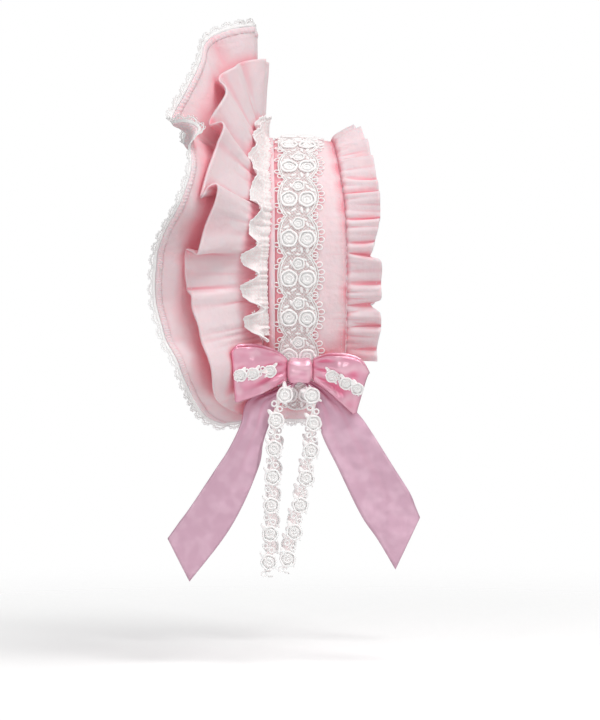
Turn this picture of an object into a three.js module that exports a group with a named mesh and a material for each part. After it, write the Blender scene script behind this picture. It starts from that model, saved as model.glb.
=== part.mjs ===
// Brimmed headband: a gathered cotton half bonnet with lace and two satin bows.
// Millimetres. +Z is up, -Y is the way the wearer faces, +X is the wearer's left.
// The origin is the inside top of the band, where it sits on the head.
import * as THREE from "three";

// Arch of the band's inner face, seen from the front: a half circle, then two long cheeks
const CROWN_RADIUS = 88;
const CHEEK_RADIUS = 312;
const CHEEK_SWEEP = THREE.MathUtils.degToRad(26);
const CROWN_REACH = (CROWN_RADIUS * Math.PI) / 2;
const BAND_REACH = CROWN_REACH + CHEEK_RADIUS * CHEEK_SWEEP;

// Walls and the clearances between layers
const BAND_WALL = 2.4;
const BRIM_WALL = 1.4;
const COTTON_WALL = 1.2;
const LACE_WALL = 1;
const SATIN_WALL = 1;
const SEAM_GAP = 0.35;
const LAYER_GAP = 0.5;
const LAID_GAP = 0.8;
const RUFFLE_LIFT = BRIM_WALL / 2 + COTTON_WALL / 2 + LAYER_GAP;

// Band edges along the arch, from the top of the head to the cheek
const BAND_EDGES = [
  { at: 0, front: -34, back: 22, dome: 3 },
  { at: 60, front: -32.5, back: 27, dome: 2.5 },
  { at: 120, front: -31.5, back: 33, dome: 2 },
  { at: 228, front: -31.5, back: 33, dome: 1.5 },
  { at: 250, front: -31.5, back: 28, dome: 1 },
  { at: 268, front: -31.5, back: 19, dome: 0.5 },
  { at: BAND_REACH, front: -31.5, back: 8, dome: 0 },
];

// Brim hem: how far each place leans forward, in degrees, and how wide the brim is there
const BRIM_HEM = [
  { at: 0, lean: 10, width: 96 },
  { at: 10, lean: 4, width: 95 },
  { at: 24, lean: 26, width: 96 },
  { at: 46, lean: 33, width: 90.5 },
  { at: 60, lean: 40, width: 89 },
  { at: 74, lean: 50, width: 89.5 },
  { at: 86, lean: 42, width: 90 },
  { at: 102, lean: 37, width: 86.5 },
  { at: 122, lean: 43, width: 90.5 },
  { at: 143, lean: 61, width: 89.6 },
  { at: 172, lean: 66, width: 89.8 },
  { at: 200, lean: 58, width: 87.2 },
  { at: 222, lean: 51, width: 81.6 },
  { at: 240, lean: 54, width: 70.6 },
  { at: 256, lean: 63, width: 58 },
  { at: 268, lean: 69, width: 49 },
  { at: 276, lean: 74, width: 40 },
  { at: BAND_REACH, lean: 77, width: 33.5 },
];

// Over-ruffle folds: a place on the seam, where its hem ends up, how far that
// stands off the brim, and how wide the ruffle is there
const RUFFLE_FOLDS = [
  { seam: 0, hem: 0, off: 4, width: 66 },
  { seam: 16, hem: 23, off: 9, width: 65 },
  { seam: 30, hem: 36, off: 14, width: 67 },
  { seam: 38, hem: 42, off: 4, width: 70 },
  { seam: 46, hem: 47, off: 5, width: 69 },
  { seam: 57, hem: 58, off: 18, width: 66 },
  { seam: 66, hem: 69, off: 24, width: 65 },
  { seam: 74, hem: 78, off: 15, width: 66 },
  { seam: 80, hem: 82, off: 24, width: 66 },
  { seam: 88, hem: 92, off: 11, width: 67 },
  { seam: 97, hem: 105, off: 3, width: 72 },
  { seam: 105, hem: 118, off: 2, width: 74 },
  { seam: 109, hem: 113.5, off: 6, width: 72 },
  { seam: 112, hem: 112.5, off: 11, width: 69 },
  { seam: 118, hem: 117, off: 12.5, width: 67 },
  { seam: 127, hem: 128, off: 15, width: 66 },
  { seam: 136, hem: 142, off: 25, width: 66 },
  { seam: 142, hem: 146.5, off: 23.5, width: 66 },
  { seam: 145.5, hem: 144, off: 12, width: 66 },
  { seam: 149, hem: 143.5, off: 6, width: 67 },
  { seam: 158, hem: 156, off: 3, width: 65 },
  { seam: 167, hem: 168, off: 5, width: 64 },
  { seam: 171, hem: 171.5, off: 6, width: 64 },
  { seam: 174.5, hem: 174.5, off: 14, width: 64 },
  { seam: 182, hem: 183, off: 13, width: 64 },
  { seam: 192, hem: 193, off: 13, width: 62 },
  { seam: 210, hem: 211, off: 11, width: 61 },
  { seam: 226, hem: 230, off: 13, width: 59 },
  { seam: 240, hem: 245, off: 9, width: 50 },
  { seam: 254, hem: 258, off: 6, width: 36 },
  { seam: 266, hem: 268, off: 5, width: 21 },
  { seam: 273, hem: 273, off: 4, width: 13 },
];
const RUFFLE_REACH = 273;
const RUFFLE_ROOT = 3;
const RUFFLE_SWEEP = 1.4;
const RUFFLE_CURL = 1.05;

// Lace frill over the root of the over-ruffle
const FRILL_REACH = 209;
const FRILL_WIDTH = 18;
const FRILL_WAVE = 23;
const FRILL_THROW = 5.5;
const FRILL_CLEAR = (COTTON_WALL + LACE_WALL) / 2 + 2.5 * LAYER_GAP;

// Back frill: its flare over the head and at the sides, and its folds along the band's
// back edge, as how far the hem lifts off, outwards, and how far it reaches back
const BACK_FRILL = { end: 230, topFlare: 12, sideFlare: 3, sideFrom: 120, middle: 4 };
const BACK_FRILL_FOLDS = [
  { at: 0, lift: 8, reach: 19 },
  { at: 20.5, lift: 1, reach: 21 },
  { at: 23.5, lift: 9, reach: 22 },
  { at: 43.5, lift: 1, reach: 25 },
  { at: 46.5, lift: 9, reach: 25 },
  { at: 64.5, lift: 0, reach: 27 },
  { at: 67.5, lift: 8, reach: 27 },
  { at: 85.5, lift: 1, reach: 28 },
  { at: 88.5, lift: 6, reach: 28 },
  { at: 97, lift: 0, reach: 28 },
  { at: 100, lift: 8, reach: 28 },
  { at: 116.5, lift: 0, reach: 27 },
  { at: 119.5, lift: 9, reach: 26 },
  { at: 137.5, lift: 3, reach: 22 },
  { at: 140, lift: 7, reach: 21 },
  { at: 147.5, lift: 0, reach: 18.5 },
  { at: 150, lift: 9, reach: 26 },
  { at: 170.5, lift: 1, reach: 26.5 },
  { at: 173.5, lift: 7, reach: 26.5 },
  { at: 181, lift: 4, reach: 26 },
  { at: 184, lift: 0, reach: 19 },
  { at: 188, lift: 2, reach: 19.5 },
  { at: 191, lift: 8, reach: 25.5 },
  { at: 202.5, lift: 1, reach: 27 },
  { at: 205.5, lift: 8, reach: 26.5 },
  { at: 220.5, lift: 1, reach: 24 },
  { at: 223.5, lift: 7, reach: 24.5 },
  { at: 230, lift: 3, reach: 25 },
];

// Lace and binding laid on the band. Two short scallops lie over the head, and the rest
// are one pitch long, down to a rounded end on each cheek.
const ROSE_LACE = {
  front: -22,
  back: 17,
  pitch: 31,
  firstNotch: 23.1,
  unitsEachSide: 9,
  scallop: 5,
  border: 8,
  bar: 3.5,
  inset: 4,
  endRound: 6,
};
const BINDING = { inset: 3.9, width: 5.2, wall: 1.2 };

// Picot edge lace sewn round the brim's hem
const PICOT = { pitch: 11.5, clear: 0.55, depth: 6.5, bar: 2.4, scallop: 1.8 };

// Bow: place on the arch, knot, loops of ribbon, and their stand off the band. A loop's
// slant is how much further back its lower edge ends
const BOW_AT = 235;
const KNOT = { across: 20, up: 20, deep: 15, stand: 12.3, softness: 0.7 };
const LOOP = { halfDepth: 5, neck: 0.25, blunt: 4 };
const FRONT_LOOP = [
  { across: -10.2, mid: 0, half: 8.5, stand: 10.5, slant: 0 },
  { across: -20, mid: 2.5, half: 14.5, stand: 15, slant: 0 },
  { across: -34, mid: 4.4, half: 20, stand: 24, slant: 0.5 },
  { across: -46, mid: 4, half: 22, stand: 30, slant: 2 },
  { across: -53.5, mid: 3, half: 22, stand: 33, slant: 3 },
];
const BACK_LOOP = [
  { across: 10.2, mid: 0.5, half: 8.5, stand: 11.5, slant: 0 },
  { across: 22, mid: -0.5, half: 14.5, stand: 15, slant: 0 },
  { across: 34, mid: -5, half: 20, stand: 18, slant: -1 },
  { across: 46, mid: -10, half: 21.5, stand: 19, slant: -5 },
  { across: 54.5, mid: -14, half: 18.4, stand: 19, slant: -10 },
];

// Satin tails: both edges of the ribbon, as forward or back and height, with their
// distance out from the middle plane
const FRONT_TAIL = [
  { ahead: -9.5, aheadUp: -195, aheadOut: 77.5, behind: -4, behindUp: -195.1, behindOut: 77.5 },
  { ahead: -25, aheadUp: -203, aheadOut: 76.5, behind: -12, behindUp: -205, behindOut: 75.5 },
  { ahead: -44, aheadUp: -211, aheadOut: 82, behind: -22, behindUp: -214, behindOut: 76 },
  { ahead: -49, aheadUp: -229, aheadOut: 86, behind: -29, behindUp: -234, behindOut: 80 },
  { ahead: -58.5, aheadUp: -249, aheadOut: 89, behind: -34, behindUp: -250, behindOut: 82 },
  { ahead: -69, aheadUp: -265, aheadOut: 89, behind: -37, behindUp: -268, behindOut: 83 },
  { ahead: -89, aheadUp: -295, aheadOut: 87, behind: -49, behindUp: -296, behindOut: 82 },
  { ahead: -98, aheadUp: -307, aheadOut: 85, behind: -64, behindUp: -321, behindOut: 80 },
  { ahead: -107, aheadUp: -319.5, aheadOut: 83, behind: -90, behindUp: -354, behindOut: 78 },
];
const BACK_TAIL = [
  { ahead: -1, aheadUp: -195.1, aheadOut: 77.5, behind: 4.5, behindUp: -195, behindOut: 77.5 },
  { ahead: 7, aheadUp: -205, aheadOut: 76, behind: 22, behindUp: -204, behindOut: 75 },
  { ahead: 11, aheadUp: -218, aheadOut: 77, behind: 42, behindUp: -220, behindOut: 76 },
  { ahead: 15, aheadUp: -238, aheadOut: 80, behind: 54.5, behindUp: -236.5, behindOut: 78 },
  { ahead: 27.5, aheadUp: -264, aheadOut: 80, behind: 72.5, behindUp: -265, behindOut: 78 },
  { ahead: 45.5, aheadUp: -301, aheadOut: 79, behind: 84.5, behindUp: -284, behindOut: 77 },
  { ahead: 59, aheadUp: -321, aheadOut: 78, behind: 89, behindUp: -295, behindOut: 76 },
  { ahead: 73, aheadUp: -344.5, aheadOut: 78, behind: 92.5, behindUp: -303.5, behindOut: 76 },
];

// Lace tails: a chain of small roses on a narrow net, hanging from the knot
const LACE_TAIL_PITCH = 21;
const LACE_TAIL_HALF = { rose: 7, waist: 3.5 };
const FRONT_LACE_TAIL = [
  { ahead: -7.5, up: -198, out: 85.5 },
  { ahead: -14, up: -205, out: 88 },
  { ahead: -20.5, up: -216, out: 88 },
  { ahead: -24, up: -260, out: 90 },
  { ahead: -28, up: -349, out: 87 },
];
const BACK_LACE_TAIL = [
  { ahead: 2.5, up: -197.2, out: 85.3 },
  { ahead: 6, up: -205.5, out: 87.5 },
  { ahead: 8, up: -220, out: 87 },
  { ahead: 3.5, up: -264, out: 87 },
  { ahead: -15, up: -346, out: 84 },
];
const LOOP_LACE = { half: 4.8, from: 0.25, to: 0.86, clear: 1.7 };

// Colours of the cotton, satin and lace
const PINK_COTTON = 0xf3cdd2;
const PINK_SATIN = 0xe39bb5;
const WHITE_LACE = 0xf2efea;

const FORWARD = new THREE.Vector3(0, -1, 0);

// Reads a named column of a table at one place, on a smooth curve through its rows
function readColumn(table, column, place, key = "at") {
  const last = table.length - 1;
  const x = THREE.MathUtils.clamp(place, table[0][key], table[last][key]);
  let row = 0;
  while (row < last - 1 && x > table[row + 1][key]) row += 1;
  const slopeAt = (i) => {
    const a = table[Math.max(0, i - 1)];
    const b = table[Math.min(last, i + 1)];
    return (b[column] - a[column]) / (b[key] - a[key]);
  };
  const a = table[row];
  const b = table[row + 1];
  const span = b[key] - a[key];
  const t = (x - a[key]) / span;
  const rise = 3 * t * t - 2 * t * t * t;
  const leave = t * t * t - 2 * t * t + t;
  const arrive = t * t * t - t * t;
  const ends = a[column] + (b[column] - a[column]) * rise;
  return ends + (slopeAt(row) * leave + slopeAt(row + 1) * arrive) * span;
}

// Place and outward direction on the band's arch, at a signed distance from its top
function archFrame(along) {
  const side = along < 0 ? -1 : 1;
  const reach = Math.abs(along);
  if (reach <= CROWN_REACH) {
    const turn = reach / CROWN_RADIUS;
    const out = new THREE.Vector3(side * Math.sin(turn), 0, Math.cos(turn));
    const spot = out.clone().multiplyScalar(CROWN_RADIUS);
    spot.z -= CROWN_RADIUS;
    return { spot, out };
  }
  const turn = (reach - CROWN_REACH) / CHEEK_RADIUS;
  const out = new THREE.Vector3(side * Math.cos(turn), 0, -Math.sin(turn));
  const spot = out.clone().multiplyScalar(CHEEK_RADIUS);
  spot.x -= side * (CHEEK_RADIUS - CROWN_RADIUS);
  spot.z -= CROWN_RADIUS;
  return { spot, out };
}

// A point over the band: along the arch, forward or back, and outwards from its inner face
function bandPoint(along, y, height) {
  const { spot, out } = archFrame(along);
  const edges = (name) => readColumn(BAND_EDGES, name, Math.abs(along));
  const middle = (edges("front") + edges("back")) / 2;
  const off = (y - middle) / ((edges("back") - edges("front")) / 2);
  spot.addScaledVector(out, height - edges("dome") * off * off);
  spot.y = y;
  return spot;
}

// A point on the brim: along the seam, how far out across the brim, and how far off its back
function brimPoint(along, reach, lift) {
  const { spot, out } = archFrame(along);
  const place = Math.abs(along);
  const lean = THREE.MathUtils.degToRad(readColumn(BRIM_HEM, "lean", place));
  const seam = bandPoint(along, readColumn(BAND_EDGES, "front", place), BAND_WALL / 2);
  seam.y -= SEAM_GAP + BRIM_WALL / 2;
  seam.addScaledVector(out, reach * Math.cos(lean) + lift * Math.sin(lean));
  return seam.addScaledVector(FORWARD, reach * Math.sin(lean) - lift * Math.cos(lean));
}

// A point on the over-ruffle: along the seam, across from root to hem, and off its back
function rufflePoint(seam, across, lift) {
  const side = seam < 0 ? -1 : 1;
  const fold = (name) => readColumn(RUFFLE_FOLDS, name, Math.abs(seam), "seam");
  const slide = (fold("hem") - Math.abs(seam)) * Math.pow(across, RUFFLE_SWEEP);
  const stand = Math.max(1, fold("off")) * Math.pow(across, RUFFLE_CURL);
  const along = side * (Math.abs(seam) + slide);
  return brimPoint(along, RUFFLE_ROOT + fold("width") * across, RUFFLE_LIFT + stand + lift);
}

// A closed wall of even thickness over a grid of places. keep says which cells are
// cloth, so that lace can be pierced; mirror builds the other side's piece.
function wall({ cols, rows, thick, place, keep = () => true, mirror = false }) {
  const at = (i, j) => i * (rows + 1) + j;
  const middle = [];
  for (let i = 0; i <= cols; i += 1)
    for (let j = 0; j <= rows; j += 1) middle.push(place(i / cols, j / rows, i, j));
  const normal = (i, j) => {
    const pick = (a, b) => middle[at(Math.min(cols, Math.max(0, a)), Math.min(rows, Math.max(0, b)))];
    const down = pick(i + 1, j).clone().sub(pick(i - 1, j));
    const over = pick(i, j + 1).clone().sub(pick(i, j - 1));
    return down.cross(over).normalize();
  };
  const corners = [];
  for (const sign of [1, -1])
    for (let i = 0; i <= cols; i += 1)
      for (let j = 0; j <= rows; j += 1) {
        const corner = middle[at(i, j)].clone().addScaledVector(normal(i, j), (sign * thick) / 2);
        if (mirror) corner.x = -corner.x;
        corners.push(corner.x, corner.y, corner.z);
      }
  const back = (cols + 1) * (rows + 1);
  const isCloth = (i, j) => i >= 0 && j >= 0 && i < cols && j < rows && keep(i, j);
  const faces = [];
  const quad = (a, b, c, d) => {
    if (mirror) faces.push(a, c, b, a, d, c);
    else faces.push(a, b, c, a, c, d);
  };
  for (let i = 0; i < cols; i += 1)
    for (let j = 0; j < rows; j += 1) {
      if (!isCloth(i, j)) continue;
      const [a, b, c, d] = [at(i, j), at(i + 1, j), at(i + 1, j + 1), at(i, j + 1)];
      quad(a, b, c, d);
      quad(back + c, back + b, back + a, back + d);
      if (!isCloth(i, j - 1)) quad(a, back + a, back + b, b);
      if (!isCloth(i + 1, j)) quad(b, back + b, back + c, c);
      if (!isCloth(i, j + 1)) quad(c, back + c, back + d, d);
      if (!isCloth(i - 1, j)) quad(d, back + d, back + a, a);
    }
  const geometry = new THREE.BufferGeometry();
  geometry.setAttribute("position", new THREE.Float32BufferAttribute(corners, 3));
  geometry.setIndex(faces);
  return geometry;
}

const root = new THREE.Group();

function addPiece(name, geometry, color, roughness) {
  const material = new THREE.MeshStandardMaterial({ color, roughness, metalness: 0 });
  const mesh = new THREE.Mesh(geometry, material);
  mesh.name = name;
  root.add(mesh);
}

// The wide cotton band over the head
function crownBand() {
  const place = (u, v) => {
    const along = THREE.MathUtils.lerp(-BAND_REACH, BAND_REACH, u);
    const edges = (name) => readColumn(BAND_EDGES, name, Math.abs(along));
    const y = THREE.MathUtils.lerp(edges("front"), edges("back"), v);
    return bandPoint(along, y, BAND_WALL / 2);
  };
  return wall({ cols: 50, rows: 3, thick: BAND_WALL, place });
}

// Where a scallop's notch lies along the band, counted from the top of the head
function roseNotch(unit) {
  const beyond = Math.max(0, Math.abs(unit) - 1) * ROSE_LACE.pitch;
  return Math.sign(unit) * (Math.min(1, Math.abs(unit)) * ROSE_LACE.firstNotch + beyond);
}

// Rose lace along the band, with a scalloped back edge and a pierced border
function roseLaceStrip() {
  const units = 2 * ROSE_LACE.unitsEachSide;
  const height = BAND_WALL + LAID_GAP + LACE_WALL / 2;
  const perUnit = 3;
  const place = (u, v, i, j) => {
    const along = roseNotch(i / perUnit - ROSE_LACE.unitsEachSide);
    const border = ROSE_LACE.back - (i % perUnit === 0 ? ROSE_LACE.scallop : 0);
    const round = i === 0 || i === units * perUnit ? ROSE_LACE.endRound : 0;
    const edge = readColumn(BAND_EDGES, "back", Math.abs(along)) - ROSE_LACE.inset - round;
    const rows = [ROSE_LACE.front + round, border - ROSE_LACE.border, border - ROSE_LACE.bar, border];
    return bandPoint(along, Math.min(rows[j], edge), height);
  };
  const keep = (i, j) => !(j === 1 && i % perUnit === 1);
  return wall({ cols: units * perUnit, rows: 3, thick: LACE_WALL, place, keep });
}

// The narrow strip that covers the brim's seam
function frontBinding() {
  const height = BAND_WALL + LAID_GAP + BINDING.wall / 2;
  const place = (u, v) => {
    const along = THREE.MathUtils.lerp(-BAND_REACH + 1, BAND_REACH - 1, u);
    const front = readColumn(BAND_EDGES, "front", Math.abs(along)) + BINDING.inset;
    return bandPoint(along, front + BINDING.width * v, height);
  };
  return wall({ cols: 40, rows: 1, thick: BINDING.wall, place });
}

// The gathered frill that stands off the band's back edge
function backFrill() {
  const { end, topFlare, sideFlare, sideFrom, middle } = BACK_FRILL;
  const place = (u, v) => {
    const along = THREE.MathUtils.lerp(-end, end, u);
    const fromTop = Math.abs(along);
    const flare = THREE.MathUtils.lerp(topFlare, sideFlare, Math.min(1, fromTop / sideFrom));
    const lift = readColumn(BACK_FRILL_FOLDS, "lift", fromTop) - middle;
    const seam = bandPoint(along, readColumn(BAND_EDGES, "back", fromTop), BAND_WALL / 2);
    seam.y += SEAM_GAP + LAYER_GAP + readColumn(BACK_FRILL_FOLDS, "reach", fromTop) * v;
    return seam.addScaledVector(archFrame(along).out, flare * Math.sqrt(v) + lift * v);
  };
  return wall({ cols: 96, rows: 2, thick: COTTON_WALL, place });
}

// The wide flared brim
function brim() {
  const place = (u, v) => {
    const along = THREE.MathUtils.lerp(-BAND_REACH, BAND_REACH, u);
    const width = readColumn(BRIM_HEM, "width", Math.abs(along));
    return brimPoint(along, width * (1 - v), 0);
  };
  return wall({ cols: 96, rows: 3, thick: BRIM_WALL, place });
}

// The gathered over-ruffle on the brim's back
function brimRuffle() {
  const place = (u, v) => {
    const seam = THREE.MathUtils.lerp(-RUFFLE_REACH, RUFFLE_REACH, u);
    return rufflePoint(seam, 1 - v, 0);
  };
  return wall({ cols: 132, rows: 3, thick: COTTON_WALL, place });
}

// The lace frill over the over-ruffle's root
function laceFrill() {
  const place = (u, v) => {
    const seam = THREE.MathUtils.lerp(-FRILL_REACH, FRILL_REACH, u);
    const width = readColumn(RUFFLE_FOLDS, "width", Math.abs(seam), "seam");
    const across = (1 - v) * (FRILL_WIDTH / width);
    const wave = 1 - Math.cos((2 * Math.PI * seam) / FRILL_WAVE);
    return rufflePoint(seam, across, FRILL_CLEAR + (FRILL_THROW / 2) * wave * (1 - v));
  };
  return wall({ cols: 82, rows: 1, thick: LACE_WALL, place });
}

// The places and outward faces that the edge lace follows: from the back corner of the
// right cheek, under the band's end, round the brim's hem and back to the left cheek
function hemPlaces() {
  const places = [];
  const endSteps = 6;
  const last = BAND_EDGES[BAND_EDGES.length - 1];
  const brimEnd = BRIM_HEM[BRIM_HEM.length - 1].width;
  for (const side of [-1, 1]) {
    const half = [];
    const { out } = archFrame(side * BAND_REACH);
    for (let k = 0; k <= endSteps; k += 1) {
      const y = THREE.MathUtils.lerp(last.back, last.front + 2, k / endSteps);
      half.push({ spot: bandPoint(side * BAND_REACH, y, BAND_WALL / 2), face: out });
    }
    for (let k = 1; k <= endSteps; k += 1) {
      const reach = (brimEnd * k) / endSteps;
      const spot = brimPoint(side * BAND_REACH, reach, 0);
      const face = brimPoint(side * BAND_REACH, reach, 1).sub(spot);
      half.push({ spot, face });
    }
    const steps = 120;
    for (let k = 1; k < steps; k += 1) {
      const along = side * BAND_REACH * (1 - k / steps);
      const width = readColumn(BRIM_HEM, "width", Math.abs(along));
      const spot = brimPoint(along, width, 0);
      half.push({ spot, face: brimPoint(along, width, 1).sub(spot) });
    }
    places.push(...(side < 0 ? half : half.reverse()));
  }
  return places;
}

// Picot lace along the hem: posts that carry a row of pierced loops
function brimEdgeLace() {
  const places = hemPlaces();
  const line = new THREE.CatmullRomCurve3(places.map((p) => p.spot), false, "centripetal");
  const faces = new THREE.CatmullRomCurve3(places.map((p) => p.face), false, "centripetal");
  line.arcLengthDivisions = 2000;
  const loops = Math.round(line.getLength() / PICOT.pitch);
  const perLoop = 2;
  const place = (u, v, i, j) => {
    const t = line.getUtoTmapping(u);
    const run = line.getTangent(t);
    const away = run.cross(faces.getPoint(t)).normalize();
    const dip = i % perLoop === 0 ? PICOT.scallop : 0;
    const reach = [PICOT.clear, PICOT.depth - PICOT.bar - dip / 2, PICOT.depth - dip][j];
    return line.getPoint(t).addScaledVector(away, reach);
  };
  const keep = (i, j) => j === 1 || i % perLoop === 0;
  return wall({ cols: loops * perLoop, rows: 2, thick: LACE_WALL, place, keep });
}

// Axes at the bow: outwards, up along the band, and the spot on the band's face
function bowFrame() {
  const { spot, out } = archFrame(BOW_AT);
  const up = new THREE.Vector3(-out.z, 0, out.x);
  return { spot, out, up };
}

function bowPoint(across, height, stand) {
  const { spot, out, up } = bowFrame();
  spot.y = across - 2.5;
  return spot.addScaledVector(up, height).addScaledVector(out, stand);
}

// The knot: a soft pillow, narrower at its waist
function bowKnot(mirror) {
  const geometry = new THREE.SphereGeometry(1, 8, 6);
  geometry.deleteAttribute("normal");
  geometry.deleteAttribute("uv");
  const position = geometry.getAttribute("position");
  const soften = (value) => Math.sign(value) * Math.pow(Math.abs(value), KNOT.softness);
  for (let k = 0; k < position.count; k += 1) {
    const across = soften(position.getX(k)) * (KNOT.across / 2);
    const height = soften(position.getY(k)) * (KNOT.up / 2);
    const stand = KNOT.stand + soften(position.getZ(k)) * (KNOT.deep / 2);
    const spot = bowPoint(across, height, stand);
    position.setXYZ(k, mirror ? -spot.x : spot.x, spot.y, spot.z);
  }
  if (mirror) {
    const faces = geometry.index.array;
    for (let k = 0; k < faces.length; k += 3) [faces[k], faces[k + 1]] = [faces[k + 1], faces[k]];
  }
  return geometry;
}

// A column of a loop's table, read by how far out along the loop it is, from 0 to 1
function readLoop(rows, name, outer) {
  const spaced = rows.map((row, k) => ({ ...row, at: k / (rows.length - 1) }));
  return readColumn(spaced, name, outer);
}

// A loop of ribbon: out along its front layer, round the end and back behind
function loopPoint(rows, around, over, lift) {
  const outer = 1 - Math.abs(2 * around - 1);
  const opening = LOOP.neck + (1 - LOOP.neck) * Math.sqrt(outer);
  const swell = LOOP.halfDepth * opening * Math.sqrt(1 - Math.pow(outer, LOOP.blunt));
  const layer = around < 0.5 ? swell : -swell;
  const height = readLoop(rows, "mid", outer) + readLoop(rows, "half", outer) * (1 - 2 * over);
  const stand = readLoop(rows, "stand", outer) + layer + lift;
  return bowPoint(readLoop(rows, "across", outer) + readLoop(rows, "slant", outer) * over, height, stand);
}

function bowLoop(rows, mirror) {
  const isFront = rows[0].across < 0;
  const place = (u, v) => loopPoint(rows, u, isFront ? v : 1 - v, 0);
  return wall({ cols: 12, rows: 2, thick: SATIN_WALL, place, mirror });
}

// Small rose lace laid along the front layer of a loop
function loopLace(rows, mirror) {
  const isFront = rows[0].across < 0;
  const place = (u, v, i) => {
    const outer = THREE.MathUtils.lerp(LOOP_LACE.from, LOOP_LACE.to, u);
    const half = LOOP_LACE.half * (i % 2 ? 1 : 0.75);
    const over = 0.5 + ((v - 0.5) * half) / readLoop(rows, "half", outer);
    return loopPoint(rows, outer / 2, isFront ? over : 1 - over, LOOP_LACE.clear);
  };
  return wall({ cols: 6, rows: 1, thick: LACE_WALL, place, mirror });
}

// A satin tail between its two edges
function satinTail(rows, mirror) {
  const key = rows.map((row, k) => ({ ...row, at: k }));
  const place = (u, v) => {
    const read = (name) => readColumn(key, name, u * (rows.length - 1));
    const ahead = new THREE.Vector3(read("aheadOut"), read("ahead"), read("aheadUp"));
    const behind = new THREE.Vector3(read("behindOut"), read("behind"), read("behindUp"));
    return ahead.lerp(behind, v);
  };
  return wall({ cols: 12, rows: 1, thick: SATIN_WALL, place, mirror });
}

// A lace tail: wide at each rose and narrow between
function laceTail(rows, mirror) {
  const line = new THREE.CatmullRomCurve3(
    rows.map((row) => new THREE.Vector3(row.out, row.ahead, row.up)),
  );
  const units = Math.round(line.getLength() / LACE_TAIL_PITCH);
  const perUnit = 3;
  const place = (u, v, i) => {
    const spot = line.getPointAt(u);
    const run = line.getTangentAt(u);
    const over = new THREE.Vector3(1, 0, 0).cross(run).normalize();
    const half = i % perUnit ? LACE_TAIL_HALF.rose : LACE_TAIL_HALF.waist;
    return spot.addScaledVector(over, half * (1 - 2 * v));
  };
  return wall({ cols: units * perUnit, rows: 1, thick: LACE_WALL, place, mirror });
}

addPiece("crown_band", crownBand(), PINK_COTTON, 0.9);
addPiece("rose_lace_strip", roseLaceStrip(), WHITE_LACE, 0.95);
addPiece("front_binding", frontBinding(), PINK_COTTON, 0.9);
addPiece("back_frill", backFrill(), PINK_COTTON, 0.9);
addPiece("brim", brim(), PINK_COTTON, 0.9);
addPiece("brim_edge_lace", brimEdgeLace(), WHITE_LACE, 0.95);
addPiece("brim_ruffle", brimRuffle(), PINK_COTTON, 0.9);
addPiece("lace_frill", laceFrill(), WHITE_LACE, 0.95);

for (const [side, mirror] of [["left", false], ["right", true]]) {
  addPiece(`${side}_bow_knot`, bowKnot(mirror), PINK_SATIN, 0.35);
  addPiece(`${side}_bow_loop_front`, bowLoop(FRONT_LOOP, mirror), PINK_SATIN, 0.35);
  addPiece(`${side}_bow_loop_back`, bowLoop(BACK_LOOP, mirror), PINK_SATIN, 0.35);
  addPiece(`${side}_loop_lace_front`, loopLace(FRONT_LOOP, mirror), WHITE_LACE, 0.95);
  addPiece(`${side}_loop_lace_back`, loopLace(BACK_LOOP, mirror), WHITE_LACE, 0.95);
  addPiece(`${side}_ribbon_tail_front`, satinTail(FRONT_TAIL, mirror), PINK_SATIN, 0.35);
  addPiece(`${side}_ribbon_tail_back`, satinTail(BACK_TAIL, mirror), PINK_SATIN, 0.35);
  addPiece(`${side}_lace_tail_front`, laceTail(FRONT_LACE_TAIL, mirror), WHITE_LACE, 0.95);
  addPiece(`${side}_lace_tail_back`, laceTail(BACK_LACE_TAIL, mirror), WHITE_LACE, 0.95);
}

export default root;
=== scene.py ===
"""Brimmed headband: a gathered cotton half bonnet with lace and two satin bows.

Tables and flat patterns are in millimetres, as the solids were drawn, and meshes are in metres.
+Z is up, -Y is forward and +X is the left side.
"""
import math

import bmesh
import bpy
import numpy as np
from mathutils import Matrix, Vector
from mathutils.bvhtree import BVHTree


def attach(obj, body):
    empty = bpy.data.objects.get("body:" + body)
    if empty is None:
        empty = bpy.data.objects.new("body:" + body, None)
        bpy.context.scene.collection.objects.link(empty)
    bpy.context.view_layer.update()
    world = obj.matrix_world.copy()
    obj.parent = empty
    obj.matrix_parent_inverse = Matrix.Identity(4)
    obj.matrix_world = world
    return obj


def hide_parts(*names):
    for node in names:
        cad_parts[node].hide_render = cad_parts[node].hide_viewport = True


bl_info = {
    "name": "Brimmed headband",
    "version": (1, 0, 0),
    "blender": (4, 5, 0),
    "location": "View3D > Sidebar > Headband",
    "description": "Sews a gathered cotton headband with lace and satin bows",
    "category": "Object",
}

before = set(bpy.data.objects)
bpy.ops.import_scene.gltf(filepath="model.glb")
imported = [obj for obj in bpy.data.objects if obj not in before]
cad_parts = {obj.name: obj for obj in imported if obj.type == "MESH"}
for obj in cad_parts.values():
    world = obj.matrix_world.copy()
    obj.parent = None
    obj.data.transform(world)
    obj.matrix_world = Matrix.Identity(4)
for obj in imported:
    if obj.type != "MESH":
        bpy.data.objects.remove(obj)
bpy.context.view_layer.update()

MM = 0.001

# Arch of the band's inner face: a half circle at the top, then two long sides
CROWN_RADIUS = 88
SIDE_RADIUS = 312
CROWN_REACH = CROWN_RADIUS * math.pi / 2
BAND_REACH = CROWN_REACH + SIDE_RADIUS * math.radians(26)

# Walls and the clearances between layers
BAND_WALL = 2.4
BRIM_WALL = 1.4
COTTON_WALL = 1.2
SATIN_WALL = 0.8
SEAM_GAP = 0.35
LAYER_GAP = 0.5
LAID_GAP = 0.8
RUFFLE_LIFT = BRIM_WALL / 2 + COTTON_WALL / 2 + LAYER_GAP
LACE_HEIGHT = BAND_WALL + LAID_GAP

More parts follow.
